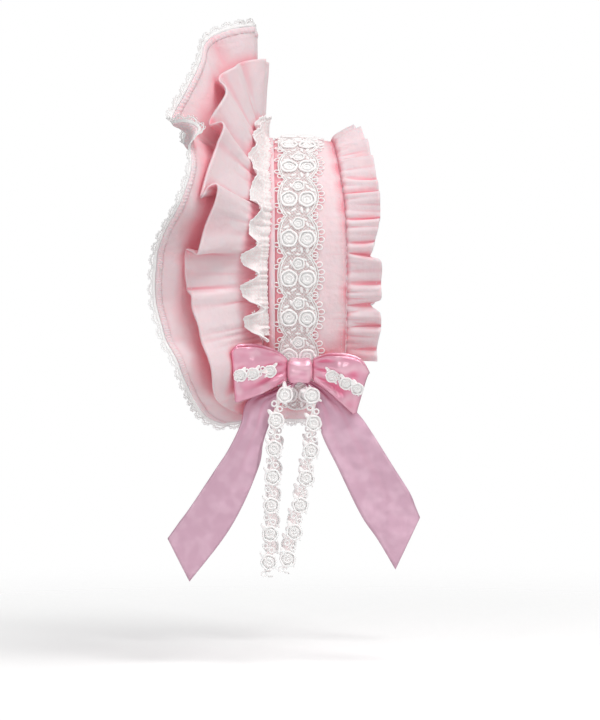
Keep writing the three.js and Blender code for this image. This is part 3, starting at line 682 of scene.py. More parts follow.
class NodeTree:
    """A Geometry Nodes tree with named inputs, built a node at a time."""

    KINDS = {float: "NodeSocketFloat", int: "NodeSocketInt", type(None): "NodeSocketMaterial"}

    def __init__(self, name, sizes):
        self.group = bpy.data.node_groups.new(name, "GeometryNodeTree")
        self.group.is_modifier = True
        face = self.group.interface
        face.new_socket(name="Geometry", in_out="INPUT", socket_type="NodeSocketGeometry")
        for label, value in sizes.items():
            socket = face.new_socket(name=label, in_out="INPUT", socket_type=self.KINDS[type(value)])
            if value is not None:
                socket.default_value = value
        face.new_socket(name="Geometry", in_out="OUTPUT", socket_type="NodeSocketGeometry")
        self.inputs = self.group.nodes.new("NodeGroupInput").outputs

    def add(self, kind, feeds=(), **settings):
        """Adds a node, sets it, feeds its sockets by name or number, and returns its outputs."""
        node = self.group.nodes.new(kind)
        for key, value in settings.items():
            setattr(node, key, value)
        for key, value in dict(feeds).items():
            socket = node.inputs[key]
            for source in value if isinstance(value, list) else [value]:
                if isinstance(source, bpy.types.NodeSocket):
                    self.group.links.new(source, socket)
                else:
                    socket.default_value = source
        return node.outputs

    def math(self, operation, *values):
        """A Math node's result."""
        return self.add("ShaderNodeMath", dict(enumerate(values)), operation=operation)[0]

    def attribute(self, name, kind="FLOAT"):
        """A named attribute of the incoming geometry."""
        return self.add("GeometryNodeInputNamedAttribute", {"Name": name}, data_type=kind)[0]

    def cord(self, curve, radius, sides):
        """A round cord along a curve."""
        ring = self.add("GeometryNodeCurvePrimitiveCircle", {"Resolution": sides, "Radius": radius})[0]
        feeds = {"Curve": curve, "Profile Curve": ring, "Fill Caps": True}
        return self.add("GeometryNodeCurveToMesh", feeds)[0]

    def finish(self, geometry):
        """Ends the tree in plain smooth geometry with its material."""
        plain = self.add("GeometryNodeRealizeInstances", {"Geometry": geometry})[0]
        smooth = self.add("GeometryNodeSetShadeSmooth", {"Geometry": plain})[0]
        feeds = {"Geometry": smooth, "Material": self.inputs["Material"]}
        coloured = self.add("GeometryNodeSetMaterial", feeds)[0]
        output = self.group.nodes.new("NodeGroupOutput")
        self.group.links.new(coloured, output.inputs["Geometry"])
        return self.group


def thread_tree():
    """Thread of a given radius along every path of a mesh."""
    tree = NodeTree("thread", {"Radius": 0.0003, "Sides": 4, "Material": None})
    curve = tree.add("GeometryNodeMeshToCurve", {"Mesh": tree.inputs["Geometry"]})[0]
    return tree.finish(tree.cord(curve, tree.inputs["Radius"], tree.inputs["Sides"]))


def placed(tree, motif):
    """A motif on every point, turned and sized by the point's own attributes."""
    turn = tree.add("FunctionNodeEulerToRotation", {0: tree.attribute("turn", "FLOAT_VECTOR")})[0]
    feeds = {
        "Points": tree.inputs["Geometry"],
        "Instance": motif,
        "Rotation": turn,
        "Scale": tree.attribute("size"),
    }
    return tree.add("GeometryNodeInstanceOnPoints", feeds)[0]


def pillow(tree, around, rings, size):
    """A flattened ball, the padded body of a motif."""
    ball = tree.add("GeometryNodeMeshUVSphere", {"Segments": around, "Rings": rings, "Radius": 1.0})[0]
    return tree.add("GeometryNodeTransform", {"Geometry": ball, "Scale": size})[0]


def rose_tree():
    """A worked rose: a flat body under a ring, an inner ring, a heart and a petalled rim."""
    sizes = {"Petals": 5.0, "Coil turns": 1.3, "Cord": 0.14, "Material": None}
    tree = NodeTree("lace_rose", sizes)
    body = pillow(tree, 14, 4, (0.85, 0.85, 0.03))
    heart = pillow(tree, 8, 5, (0.16, 0.16, 0.24))
    spiral = tree.add("GeometryNodeCurveSpiral", {
        "Resolution": 12,
        "Rotations": tree.inputs["Coil turns"],
        "Start Radius": 0.36,
        "End Radius": 0.56,
        "Height": 0.0,
    })[0]
    raised = tree.add("GeometryNodeSetPosition", {"Geometry": spiral, "Offset": (0, 0, 0.13)})[0]
    thin = tree.math("MULTIPLY", tree.inputs["Cord"], 0.85)
    coil = tree.cord(raised, thin, 4)
    circle = tree.add("GeometryNodeCurvePrimitiveCircle", {"Resolution": 24, "Radius": 0.84})[0]
    position = tree.add("GeometryNodeInputPosition")[0]
    parts = tree.add("ShaderNodeSeparateXYZ", {0: position})
    angle = tree.math("ARCTAN2", parts[1], parts[0])
    halves = tree.math("MULTIPLY", angle, tree.math("DIVIDE", tree.inputs["Petals"], 2.0))
    bulge = tree.math("MULTIPLY", tree.math("ABSOLUTE", tree.math("SINE", halves)), 0.1)
    scaled = tree.add("ShaderNodeVectorMath", {0: position, "Scale": bulge}, operation="SCALE")[0]
    petals = tree.add("GeometryNodeSetPosition", {"Geometry": circle, "Offset": scaled})[0]
    high = tree.add("GeometryNodeSetPosition", {"Geometry": petals, "Offset": (0, 0, 0.12)})[0]
    rim = tree.cord(high, tree.inputs["Cord"], 5)
    motif = tree.add("GeometryNodeJoinGeometry", {0: [body, heart, coil, rim]})[0]
    return tree.finish(placed(tree, motif))


def leaf_tree():
    """A worked leaf that points along its own X."""
    tree = NodeTree("lace_leaf", {"Material": None})
    body = pillow(tree, 8, 5, (1.0, 0.42, 0.2))
    return tree.finish(placed(tree, body))


def daisy_tree():
    """A small five-petalled motif for the net of a frill."""
    tree = NodeTree("lace_daisy", {"Petals": 5, "Material": None})
    petal = pillow(tree, 6, 4, (0.42, 0.26, 0.14))
    circle = tree.add("GeometryNodeMeshCircle", {"Vertices": tree.inputs["Petals"], "Radius": 0.6})[0]
    position = tree.add("GeometryNodeInputPosition")[0]
    turn = tree.add("FunctionNodeAlignRotationToVector", {"Vector": position}, axis="X")[0]
    feeds = {"Points": circle, "Instance": petal, "Rotation": turn}
    petals = tree.add("GeometryNodeInstanceOnPoints", feeds)[0]
    heart = pillow(tree, 6, 4, (0.26, 0.26, 0.2))
    motif = tree.add("GeometryNodeJoinGeometry", {0: [petals, heart]})[0]
    return tree.finish(placed(tree, motif))


def stitch_tree():
    """Short stitches along every path of a mesh."""
    sizes = {"Pitch": 0.0026, "Length": 0.0009, "Radius": 0.00028, "Material": None}
    tree = NodeTree("stitches", sizes)
    curve = tree.add("GeometryNodeMeshToCurve", {"Mesh": tree.inputs["Geometry"]})[0]
    feeds = {"Curve": curve, "Length": tree.inputs["Pitch"]}
    points = tree.add("GeometryNodeResampleCurve", feeds, mode="LENGTH")[0]
    tangent = tree.add("GeometryNodeInputTangent")[0]
    turn = tree.add("FunctionNodeAlignRotationToVector", {"Vector": tangent}, axis="X")[0]
    ball = tree.add("GeometryNodeMeshUVSphere", {"Segments": 5, "Rings": 4, "Radius": 1.0})[0]
    size = tree.add("ShaderNodeCombineXYZ", {
        0: tree.inputs["Length"], 1: tree.inputs["Radius"], 2: tree.inputs["Radius"],
    })[0]
    feeds = {"Points": points, "Instance": ball, "Rotation": turn, "Scale": size}
    return tree.finish(tree.add("GeometryNodeInstanceOnPoints", feeds)[0])


TREES = {}


def node_tree(maker):
    """The tree that a function makes, made once."""
    if maker.__name__ not in TREES:
        TREES[maker.__name__] = maker()
    return TREES[maker.__name__]


def grow(name, tool, maker, material, **sizes):
    """Runs a Geometry Nodes tree on a helper mesh and keeps the result as a plain piece."""
    group = node_tree(maker)
    modifier = tool.modifiers.new(name, "NODES")
    modifier.node_group = group
    named = {socket.name: socket.identifier for socket in group.interface.items_tree}
    for label, value in sizes.items():
        modifier[named[label.replace("_", " ")]] = value
    modifier[named["Material"]] = material
    return as_mesh(name, tool, material)


def threads(name, paths, radius, material, sides):
    """Thread along paths in millimetres."""
    points, edges = path_edges(paths)
    tool = add_mesh(name + "_path", points, [], None, edges=edges)
    return grow(name, tool, thread_tree, material, Radius=radius, Sides=sides)


def sew(name, paths):
    """A row of stitches along paths in millimetres, in the cotton's thread."""
    points, edges = path_edges(paths)
    tool = add_mesh(name + "_path", points, [], None, edges=edges)
    pitch = bpy.context.scene.headband.stitch_pitch
    row = grow(name, tool, stitch_tree, finish_of("sewing_thread"), Pitch=pitch)
    return wear(row)


def motifs(name, maker, places, material):
    """A motif at each place: a point, the way it points, its outward face and its radius."""
    points, turns, radii = [], [], []
    for spot, run, face, radius in places:
        out = Vector(face).normalized()
        ahead = (Vector(run) - out * Vector(run).dot(out)).normalized()
        turn = Matrix([ahead, out.cross(ahead), out]).transposed()
        points.append(spot)
        turns.extend(turn.to_euler())
        radii.append(radius * MM)
    tool = add_mesh(name + "_points", points, [], None)
    tool.data.attributes.new("turn", "FLOAT_VECTOR", "POINT").data.foreach_set("vector", turns)
    tool.data.attributes.new("size", "FLOAT", "POINT").data.foreach_set("value", radii)
    return grow(name, tool, maker, material)


# Lace drawn flat, then laid on a surface


def net_paths(start, stop, low, high, pitch, inside):
    """Both diagonals of a net between two pairs of limits, cut where inside says no."""
    step = pitch * math.sqrt(2)
    paths = []
    for slant in (1, -1):
        for first in np.arange(start - (high - low), stop + (high - low), step):
            across = np.arange(low, high + 0.01, step / 2)
            along = first + slant * (across - low)
            kept = (along >= start) & (along <= stop) & inside(along, across)
            breaks = np.flatnonzero(np.diff(kept.astype(int))) + 1
            for run in np.split(np.arange(len(across)), breaks):
                if len(run) > 1 and kept[run[0]]:
                    paths.append(np.stack([along[run], across[run]], -1))
    return paths


def laid(paths, surface, height=0.0):
    """Flat paths laid on a surface."""
    return [surface(p[:, 0], p[:, 1], np.full(len(p), height)) for p in paths]


def laid_motifs(rows, surface, height):
    """Flat motif places (along, across, turn in degrees, radius) laid on a surface."""
    rows = np.asarray(rows, float)
    a, b, turn, radius = rows.T
    turn = np.radians(turn)
    h = np.full(len(rows), float(height))
    spot = surface(a, b, h)
    run = surface(a + 0.2, b, h) - spot
    over = surface(a, b + 0.2, h) - spot
    face = surface(a, b, h + 0.2) - spot
    ahead = along_axis(unit(run), np.cos(turn)) + along_axis(unit(over), np.sin(turn))
    return list(zip(spot, ahead, face, radius))


def ring_path(along, across, radius, count=10):
    """A closed ring in the flat."""
    turn = np.linspace(0, 2 * np.pi, count + 1)
    return np.stack([along + radius * np.cos(turn), across + radius * np.sin(turn)], -1)


# Materials


class Shader:
    """A node material, built a node at a time."""

    def __init__(self, name, roughness, **sockets):
        self.material = bpy.data.materials.new(name)
        self.material.use_nodes = True
        self.tree = self.material.node_tree
        self.surface = self.tree.nodes["Principled BSDF"]
        self.surface.inputs["Roughness"].default_value = roughness
        for label, value in sockets.items():
            self.surface.inputs[label.replace("_", " ")].default_value = value

    def add(self, kind, feeds=(), **settings):
        """Adds a node, sets it, feeds its sockets, and returns its outputs."""
        node = self.tree.nodes.new(kind)
        for key, value in settings.items():
            setattr(node, key, value)
        for key, value in dict(feeds).items():
            if isinstance(value, bpy.types.NodeSocket):
                self.tree.links.new(value, node.inputs[key])
            else:
                node.inputs[key].default_value = value
        return node.outputs

    def math(self, operation, *values):
        """A Math node's result."""
        return self.add("ShaderNodeMath", dict(enumerate(values)), operation=operation)[0]

    def noise(self, vector, scale, detail=3.0):
        """Noise from 0 to 1 on a vector."""
        return self.add("ShaderNodeTexNoise", {"Vector": vector, "Scale": scale, "Detail": detail})[0]

    def wave(self, value, length):
        """A rounded ridge for each length, from 0 to 1."""
        turned = self.math("MULTIPLY", value, 2 * math.pi / length)
        return self.math("MULTIPLY_ADD", self.math("SINE", turned), 0.5, 0.5)

    def blend(self, factor, low, high):
        """One colour to another."""
        node = self.tree.nodes.new("ShaderNodeMix")
        node.data_type = "RGBA"
        self.tree.links.new(factor, node.inputs["Factor"])
        for socket, value in zip([s for s in node.inputs if s.type == "RGBA"], (low, high)):
            if isinstance(value, bpy.types.NodeSocket):
                self.tree.links.new(value, socket)
            else:
                socket.default_value = (*value, 1)
        return [s for s in node.outputs if s.type == "RGBA"][0]

    def bumps(self, *layers):
        """Bumps of (height, depth in metres), one on another, as the surface's normal."""
        normal = None
        for height, depth in layers:
            feeds = {"Height": height, "Distance": depth, "Strength": 1.0}
            if normal is not None:
                feeds["Normal"] = normal
            normal = self.add("ShaderNodeBump", feeds)[0]
        self.tree.links.new(normal, self.surface.inputs["Normal"])

    def through(self, weight, radius, scale):
        """Lets light pass into the cloth."""
        self.surface.inputs["Subsurface Weight"].default_value = weight
        self.surface.inputs["Subsurface Radius"].default_value = radius
        self.surface.inputs["Subsurface Scale"].default_value = scale

    def colour(self, output):
        """Feeds the surface's colour."""
        self.tree.links.new(output, self.surface.inputs["Base Color"])
        return self.material


def shade(colour, amount):
    """The colour, lighter or darker by a share."""
    return tuple(min(1.0, c * (1 + amount)) for c in colour)


def tinted(colour, shares):
    """The colour with a share left of its red, green and blue."""
    return tuple(c * s for c, s in zip(colour, shares))


def folded(cloth, plain, deep, painted_glow):
    """Paints shade into a cloth's colour in its hollows and where folds hide it, and paints a
    little glow there, as of light through thin cloth."""
    hollow = cloth.add("ShaderNodeAttribute", attribute_name="hollow")["Fac"]
    hidden = cloth.add("ShaderNodeAttribute", attribute_name="hidden")["Fac"]
    crease_shade, tuck_shade = [
        cloth.add("ShaderNodeMapRange", {0: value, 1: low, 2: high, 3: 0.0, 4: 1.0})[0]
        for value, (low, high) in ((hollow, HOLLOW_SHADE_RANGE), (hidden, HIDDEN_SHADE_RANGE))
    ]
    share = cloth.math("MAXIMUM", crease_shade, tuck_shade)
    cloth.surface.inputs["Emission Color"].default_value = (*deep, 1)
    cloth.tree.links.new(cloth.math("MULTIPLY", share, painted_glow), cloth.surface.inputs["Emission Strength"])
    return cloth.blend(share, plain, deep)


def cotton_material(colour):
    """Plain-woven cotton: two sets of threads, slubs, soft rumples and a faint bloom, with painted
    shade and a painted glow in its folds.
    """
    cloth = Shader("woven_cotton", 0.86, Sheen_Weight=0.18, Sheen_Roughness=0.4, Specular_IOR_Level=0.2)
    cloth.through(0.4, (1.0, 0.35, 0.4), 0.0035)
    flat = cloth.add("ShaderNodeUVMap", uv_map="cloth")[0]
    parts = cloth.add("ShaderNodeSeparateXYZ", {0: flat})
    solid = cloth.add("ShaderNodeTexCoord")["Object"]
    warp, weft = cloth.wave(parts[0], WEAVE_PITCH), cloth.wave(parts[1], WEAVE_PITCH)
    weave = cloth.math("MULTIPLY", warp, weft)
    slub = cloth.noise(solid, 900.0)
    rumple = cloth.noise(solid, 95.0)
    cloth.bumps((rumple, 0.0014), (slub, 0.00012), (weave, 0.00005))
    patches = cloth.math("MULTIPLY", cloth.noise(solid, 60.0), 0.8)
    tone = cloth.math("MULTIPLY_ADD", weave, 0.12, patches)
    plain = cloth.blend(tone, shade(colour, -0.05), shade(colour, 0.04))
    return cloth.colour(folded(cloth, plain, tinted(colour, COTTON_PAINTED_SHADE), COTTON_PAINTED_GLOW))


def satin_material(colour, name="satin_ribbon", gloss=0.22, painted_sheen=0.2):
    """Satin ribbon: a smooth face with long threads, a stretched gloss and faint ribs, paled in patches
    by painted sheen, with painted shade and glow in its folds.
    """
    cloth = Shader(name, gloss, Metallic=0.35, Anisotropic=0.5, Specular_IOR_Level=0.5)
    flat = cloth.add("ShaderNodeUVMap", uv_map="cloth")[0]
    parts = cloth.add("ShaderNodeSeparateXYZ", {0: flat})
    solid = cloth.add("ShaderNodeTexCoord")["Object"]
    ribs = cloth.wave(parts[1], RIB_PITCH)
    rumple = cloth.noise(solid, 70.0, 1.0)
    cloth.bumps((rumple, 0.002), (ribs, 0.00003))
    tangent = cloth.add("ShaderNodeTangent", direction_type="UV_MAP", uv_map="cloth")[0]
    cloth.tree.links.new(tangent, cloth.surface.inputs["Tangent"])
    # Painted sheen: the colour paled towards white in patches of noise
    patch = {0: cloth.noise(solid, 85.0, 1.0), 1: 0.42, 2: 0.66, 3: 0.0, 4: 1.0}
    painted_sheen_mask = cloth.add("ShaderNodeMapRange", patch, interpolation_type="SMOOTHSTEP")[0]
    pale = tuple(c + painted_sheen * (1 - c) for c in colour)
    plain = cloth.blend(painted_sheen_mask, shade(colour, -0.06), pale)
    return cloth.colour(folded(cloth, plain, tinted(colour, SATIN_PAINTED_SHADE), SATIN_PAINTED_GLOW))


def tail_material(colour):
    """The ribbon for the hanging tails: duller, painted paler for the light on their single layer, and
    with little painted sheen.
    """
    return satin_material(tinted(colour, TAIL_PAINTED_PALER), "satin_back", gloss=0.45, painted_sheen=0.06)


def lace_material(colour):
    """Cotton lace thread, a little fuzzy, with the twist of its strands, and a painted glow that
    brightens it.
    """
    cloth = Shader("lace_thread", 0.9, Sheen_Weight=0.3, Specular_IOR_Level=0.2)
    cloth.through(0.25, (1.0, 0.85, 0.85), 0.0015)
    solid = cloth.add("ShaderNodeTexCoord")["Object"]
    twist = cloth.noise(solid, 1900.0, 2.0)
    cloth.bumps((twist, 0.00025))
    # Painted glow that brightens the white thread
    cloth.surface.inputs["Emission Color"].default_value = (*colour, 1)
    cloth.surface.inputs["Emission Strength"].default_value = THREAD_PAINTED_GLOW
    return cloth.colour(cloth.blend(twist, shade(colour, -0.08), shade(colour, 0.06)))


def ground_material(colour, name="lace_ground", shown_and_shaded=UNDER_LACE_SHADED, painted_glow=0.0):
    """The lace's fine ground, a close net through which some of the cotton shows, painted darker for
    the shade under the net, and with a painted glow when one is given.
    """
    cloth = Shader(name, 0.95, Specular_IOR_Level=0.1)
    cloth.through(0.3, (1.0, 0.85, 0.85), 0.002)
    flat = cloth.add("ShaderNodeUVMap", uv_map="cloth")[0]
    parts = cloth.add("ShaderNodeSeparateXYZ", {0: flat})
    one = cloth.wave(cloth.math("ADD", parts[0], parts[1]), GROUND_PITCH)
    two = cloth.wave(cloth.math("SUBTRACT", parts[0], parts[1]), GROUND_PITCH)
    holes = [cloth.wave(part, pitch) for part, pitch in zip(parts, EYELET_PITCHES)]
    eyelets = cloth.math("MULTIPLY", *holes)
    close = cloth.math("MAXIMUM", one, two)
    mesh = cloth.math("MULTIPLY_ADD", close, 0.55, cloth.math("MULTIPLY", eyelets, 0.45))
    cloth.bumps((mesh, 0.0004))
    below = tinted(colour, shown_and_shaded)
    # Painted glow, none unless one is given
    cloth.surface.inputs["Emission Color"].default_value = (*colour, 1)
    cloth.surface.inputs["Emission Strength"].default_value = painted_glow
    return cloth.colour(cloth.blend(mesh, below, shade(colour, -0.03)))


def frill_ground_material(colour):
    """The lace frill's ground, backed only by more lace, so whiter, and brightened by a painted glow.
    """
    return ground_material(colour, "frill_ground", UNDER_FRILL_SHADED, FRILL_PAINTED_GLOW)


def stitch_material(colour):
    """Sewing thread in the cotton's colour, a little deeper."""
    cloth = Shader("sewing_thread", 0.6, Sheen_Weight=0.1)
    solid = cloth.add("ShaderNodeTexCoord")["Object"]
    twist = cloth.noise(solid, 2500.0, 1.0)
    cloth.bumps((twist, 0.0001))
    return cloth.colour(cloth.blend(twist, shade(colour, -0.12), shade(colour, 0.02)))


MAKERS = {
    "cotton": (cotton_material, "cotton"),
    "satin": (satin_material, "satin"),
    "satin_tail": (tail_material, "satin"),
    "lace": (lace_material, "lace"),
    "lace_ground": (ground_material, "lace"),
    "frill_ground": (frill_ground_material, "lace"),
    "sewing_thread": (stitch_material, "cotton"),
}

FINISHES = {}


def finish_of(name):
    """The material of that name, made once from its colour."""
    if name not in FINISHES:
        maker, setting = MAKERS[name]
        FINISHES[name] = maker(tuple(getattr(bpy.context.scene.headband, setting)))
    return FINISHES[name]


# Pieces


def make_band():
    """The wide cotton band, with the topstitch beside its back seam."""
    cotton = finish_of("cotton")

    def place(u, v):
        edges = [column(BAND_EDGES, n, np.abs(u)) for n in ("front", "back")]
        return band_point(u, edges[0] + (edges[1] - edges[0]) * v, BAND_WALL / 2)

    us, vs = spaced(-BAND_REACH, BAND_REACH, 330), spaced(0, 1, 18)
    band = wall("band_cloth", place, us, vs, BAND_WALL, cotton, (1, 66))
    wear(band, ["crown_band"])
    along = spaced(-BAND_REACH + 2, BAND_REACH - 2, 400)
    back = column(BAND_EDGES, "back", np.abs(along)) - 3
    row = sew("band_topstitch", [band_point(along, back, np.full(along.shape, BAND_WALL + 0.05))])


def make_binding():
    """The narrow folded strip that covers the brim's seam."""
    def place(u, v):
        front = column(BAND_EDGES, "front", np.abs(u)) + BINDING["inset"]
        bulge = 0.5 * np.sin(np.pi * v) + 0.25 * wander(u, 4, 71)
        return band_point(u, front + BINDING["width"] * v, LACE_HEIGHT + BINDING["wall"] / 2 + bulge)

    us, vs = spaced(-BAND_REACH + 1, BAND_REACH - 1, 300), spaced(0, 1, 6)
    strip = wall("binding_cloth", place, us, vs, BINDING["wall"], finish_of("cotton"), (1, 6))
    wear(strip, ["front_binding"])


def hemmed(wall_thick, hem_share, extra):
    """A cloth's thickness, with a turned-up hem past a share of its width."""
    def thick(u, v):
        inside = 1 / (1 + np.exp((v - (1 - hem_share)) * -400 * hem_share))
        groove = np.exp(-((v - (1 - hem_share)) / (0.12 * hem_share)) ** 2)
        return wall_thick + extra * inside - 0.5 * extra * groove

    return thick


def make_back_frill():
    """The gathered frill that stands off the band's back edge."""
    us, vs = spaced(-BACK_FRILL_REACH, BACK_FRILL_REACH, 460), spaced(0, 1, 16)
    frill = wall("back_frill_cloth", lambda u, v: back_frill_point(u, v, 0), us, vs,
                 hemmed(COTTON_WALL, 0.14, 0.5), finish_of("cotton"), (1.7, 26))
    wear(frill, ["back_frill"])
    along = spaced(-BACK_FRILL_REACH + 1, BACK_FRILL_REACH - 1, 700)
    rows = [back_frill_point(along, np.full(along.shape, 0.86), COTTON_WALL / 2)]
    row = sew("back_frill_stitches", rows)


def make_brim():
    """The wide flared brim with its turned and puckered hem."""
    cotton = finish_of("cotton")

    def place(u, v):
        return brim_point(u, column(BRIM_HEM, "width", np.abs(u)) * v, 0)

    us = spaced(-BAND_REACH, BAND_REACH, 560)
    vs = np.append(spaced(1, 0, 40)[:-1] * 0.985, 0)
    brim = wall("brim_cloth", place, us, vs, BRIM_WALL, cotton, (1.8, 95))
    wear(brim, ["brim"])

    def hem_place(u, v):
        width = column(BRIM_HEM, "width", np.abs(u))
        return brim_point(u, width - 5 * v, 0)

    def hem_thick(u, v):
        pucker = 0.5 + 0.5 * np.sin(2 * np.pi * (u + 0.5 * v) / 1.5 + 2 * wander(u, 3, 81))
        return 0.4 + (BRIM_WALL + 1.2 * pucker) * np.sin(np.pi * np.clip(v, 0.1, 0.9)) ** 0.5

    us, vs = spaced(-BAND_REACH, BAND_REACH, 1700), spaced(0, 1, 6)
    hem = wall("brim_hem", hem_place, us, vs, hem_thick, cotton, (1.8, 5))
    wear(hem)
    along = spaced(-BAND_REACH + 1, BAND_REACH - 1, 1100)
    reach = column(BRIM_HEM, "width", np.abs(along)) - 5.3
    rows = [brim_point(along, reach, lift) for lift in (BRIM_WALL / 2, -BRIM_WALL / 2)]
    row = sew("brim_stitches", rows)


def make_ruffle():
    """The gathered over-ruffle on the brim's back."""
    us = spaced(-RUFFLE_REACH, RUFFLE_REACH, 720)
    vs = spaced(1, 0, 34)
    ruffle = wall("ruffle_cloth", lambda u, v: ruffle_point(u, v, 0), us, vs,
                  hemmed(COTTON_WALL, 0.06, 0.5), finish_of("cotton"), (2.0, 67))
    wear(ruffle, ["brim_ruffle"])
    seam = spaced(-RUFFLE_REACH + 1, RUFFLE_REACH - 1, 1400)
    row = sew("ruffle_stitches", [ruffle_point(seam, np.full(seam.shape, 0.94), COTTON_WALL / 2)])


def rose_notch(unit_count):
    """Where a scallop's notch lies along the band, counted from the band's top."""
    count = np.asarray(unit_count, float)
    beyond = np.maximum(0, np.abs(count) - 1) * ROSE_LACE["pitch"]
    return np.sign(count) * (np.minimum(1, np.abs(count)) * ROSE_LACE["firstNotch"] + beyond)


def lace_edges(along):
    """The rose lace's scalloped front and back edges at each place along the band."""
    place = np.abs(along)
    first, pitch = ROSE_LACE["firstNotch"], ROSE_LACE["pitch"]
    share = np.where(place < first, place / first, np.mod(place - first, pitch) / pitch)
    bulge = np.clip(np.sin(np.pi * share), 0, 1) ** ROSE_LACE["bow"]
    back = ROSE_LACE["arc"] - ROSE_LACE["backDip"] * ROSE_LACE["dip"] * (1 - bulge)
    back = np.minimum(back, column(BAND_EDGES, "back", place) - ROSE_LACE["seamGap"])
    front = ROSE_LACE["front"] + ROSE_LACE["frontInset"] + ROSE_LACE["dip"] * (1 - bulge)
    end = float(rose_notch(ROSE_LACE["unitsEachSide"]))
    past = np.clip((place - end + ROSE_LACE["endRound"]) / ROSE_LACE["endRound"], 0, 1)
    narrow = 0.15 + 0.85 * np.sqrt(1 - past**2)
    middle = (front + back) / 2
    return middle + (front - middle) * narrow, middle + (back - middle) * narrow


def make_rose_lace():
    """Rose lace along the band: ground, net, corded scallops with picots, roses and leaves."""
    settings = bpy.context.scene.headband
    lace = finish_of("lace")
    end = float(rose_notch(ROSE_LACE["unitsEachSide"]))

    def surface(along, across, height):
        return band_point(along, across, LACE_HEIGHT + height)

    def place(u, v):
        front, back = lace_edges(u)
        return surface(u, front + (back - front) * v, 0.2)

    us, vs = spaced(-end, end, 420), spaced(0, 1, 12)
    ground = wall("rose_lace_ground", place, us, vs, 0.35, finish_of("lace_ground"), (1, 36))

    def inside(along, across):
        front, back = lace_edges(along)
        return (across < back) & (across > front)

    low, high = ROSE_LACE["front"], ROSE_LACE["arc"]
    net = net_paths(-end, end, low, high, settings.net_pitch / MM, inside)
    mesh = threads("rose_lace_net", laid(net, surface, 0.4), settings.net_thread, lace, 3)
    run = spaced(-end, end, 560)
    front, back = lace_edges(run)
    cords = [np.stack([run, edge], -1) for edge in (back, back - 1.8, front, front + 1.8)]
    bars, roses, leaves = [], [], []
    for k in range(-ROSE_LACE["unitsEachSide"], ROSE_LACE["unitsEachSide"]):
        notch, after = rose_notch([k, k + 1])
        length, down = after - notch, (1 if k >= 0 else -1)
        middle = (notch + after) / 2 + 2 * down
        turn = np.linspace(0, 2 * np.pi, 11)
        ring = np.stack([2 * np.sin(turn), 2.5 - 2.5 * np.cos(turn)], -1)
        for j in range(ROSE_LACE["picots"]):
            share = (j + 0.5) / ROSE_LACE["picots"]
            along = notch + length * share
            front, back = (float(edge) for edge in lace_edges(np.array(along)))
            tilt = math.radians(80) * (share - 0.5)
            spin = np.array([[math.cos(tilt), -math.sin(tilt)], [math.sin(tilt), math.cos(tilt)]])
            cords.append((along, back) + ring @ spin)
            if abs(share - 0.5) > 0.2:
                cords.append((along, front) + 0.85 * ring @ spin.T * (1, -1))
        roses += [
            (middle, -11.2, 0, 6.9),
            (middle + 0.4, 3.2, 40, 6.9),
            (middle - 11.4 * down, -3.8, 20, 5),
        ]
        leaves += [(middle + a * down, b, turn * down, size) for a, b, turn, size in SCALLOP_LEAVES]
        for along, across in SCALLOP_RINGS:
            bars.append(ring_path(middle + along * down, across, SCALLOP_RING_RADIUS, 8))
    thread = settings.cord_thread
    edging = threads("rose_lace_cords", laid(cords, surface, 0.8), thread * 1.2, lace, 4)
    bridges = threads("rose_lace_bars", laid(bars, surface, 0.6), thread * 0.85, lace, 4)
    flowers = motifs("rose_lace_roses", rose_tree, laid_motifs(roses, surface, 0.55), lace)
    foliage = motifs("rose_lace_leaves", leaf_tree, laid_motifs(leaves, surface, 0.6), lace)
    wear(ground, ["rose_lace_strip"])
    for piece in (mesh, edging, bridges, flowers, foliage):
        wear(piece)


def hem_line():
    """The line that the edge lace follows, with its way out and its face, and its length."""
    last = {n: BAND_EDGES[n][-1] for n in ("front", "back")}
    ends, faces = [], []
    for side in (-1, 1):
        along = np.full(12, side * BAND_REACH)
        ys = np.linspace(last["back"], last["front"] + 2, 12)
        reach = spaced(0, BRIM_HEM["width"][-1], 12)[1:-1]
        place = np.full(reach.shape, side * BAND_REACH)
        spots = [band_point(along, ys, BAND_WALL / 2), brim_point(place, reach, 0)]
        out = [band_point(along, ys, BAND_WALL / 2 + 1), brim_point(place, reach, 1)]
        ends.append(np.concatenate(spots))
        faces.append(np.concatenate(out))
    along = spaced(-BAND_REACH, BAND_REACH, 1400)
    width = column(BRIM_HEM, "width", np.abs(along))
    line = np.concatenate([ends[0], brim_point(along, width, 0), ends[1][::-1]])
    face = np.concatenate([faces[0], brim_point(along, width, 1), faces[1][::-1]]) - line
    run = np.gradient(line, axis=0)
    lengths = np.r_[0, np.cumsum(np.linalg.norm(np.diff(line, axis=0), axis=1))]
    away = unit(np.cross(run, face))
    return line, away, unit(face), lengths


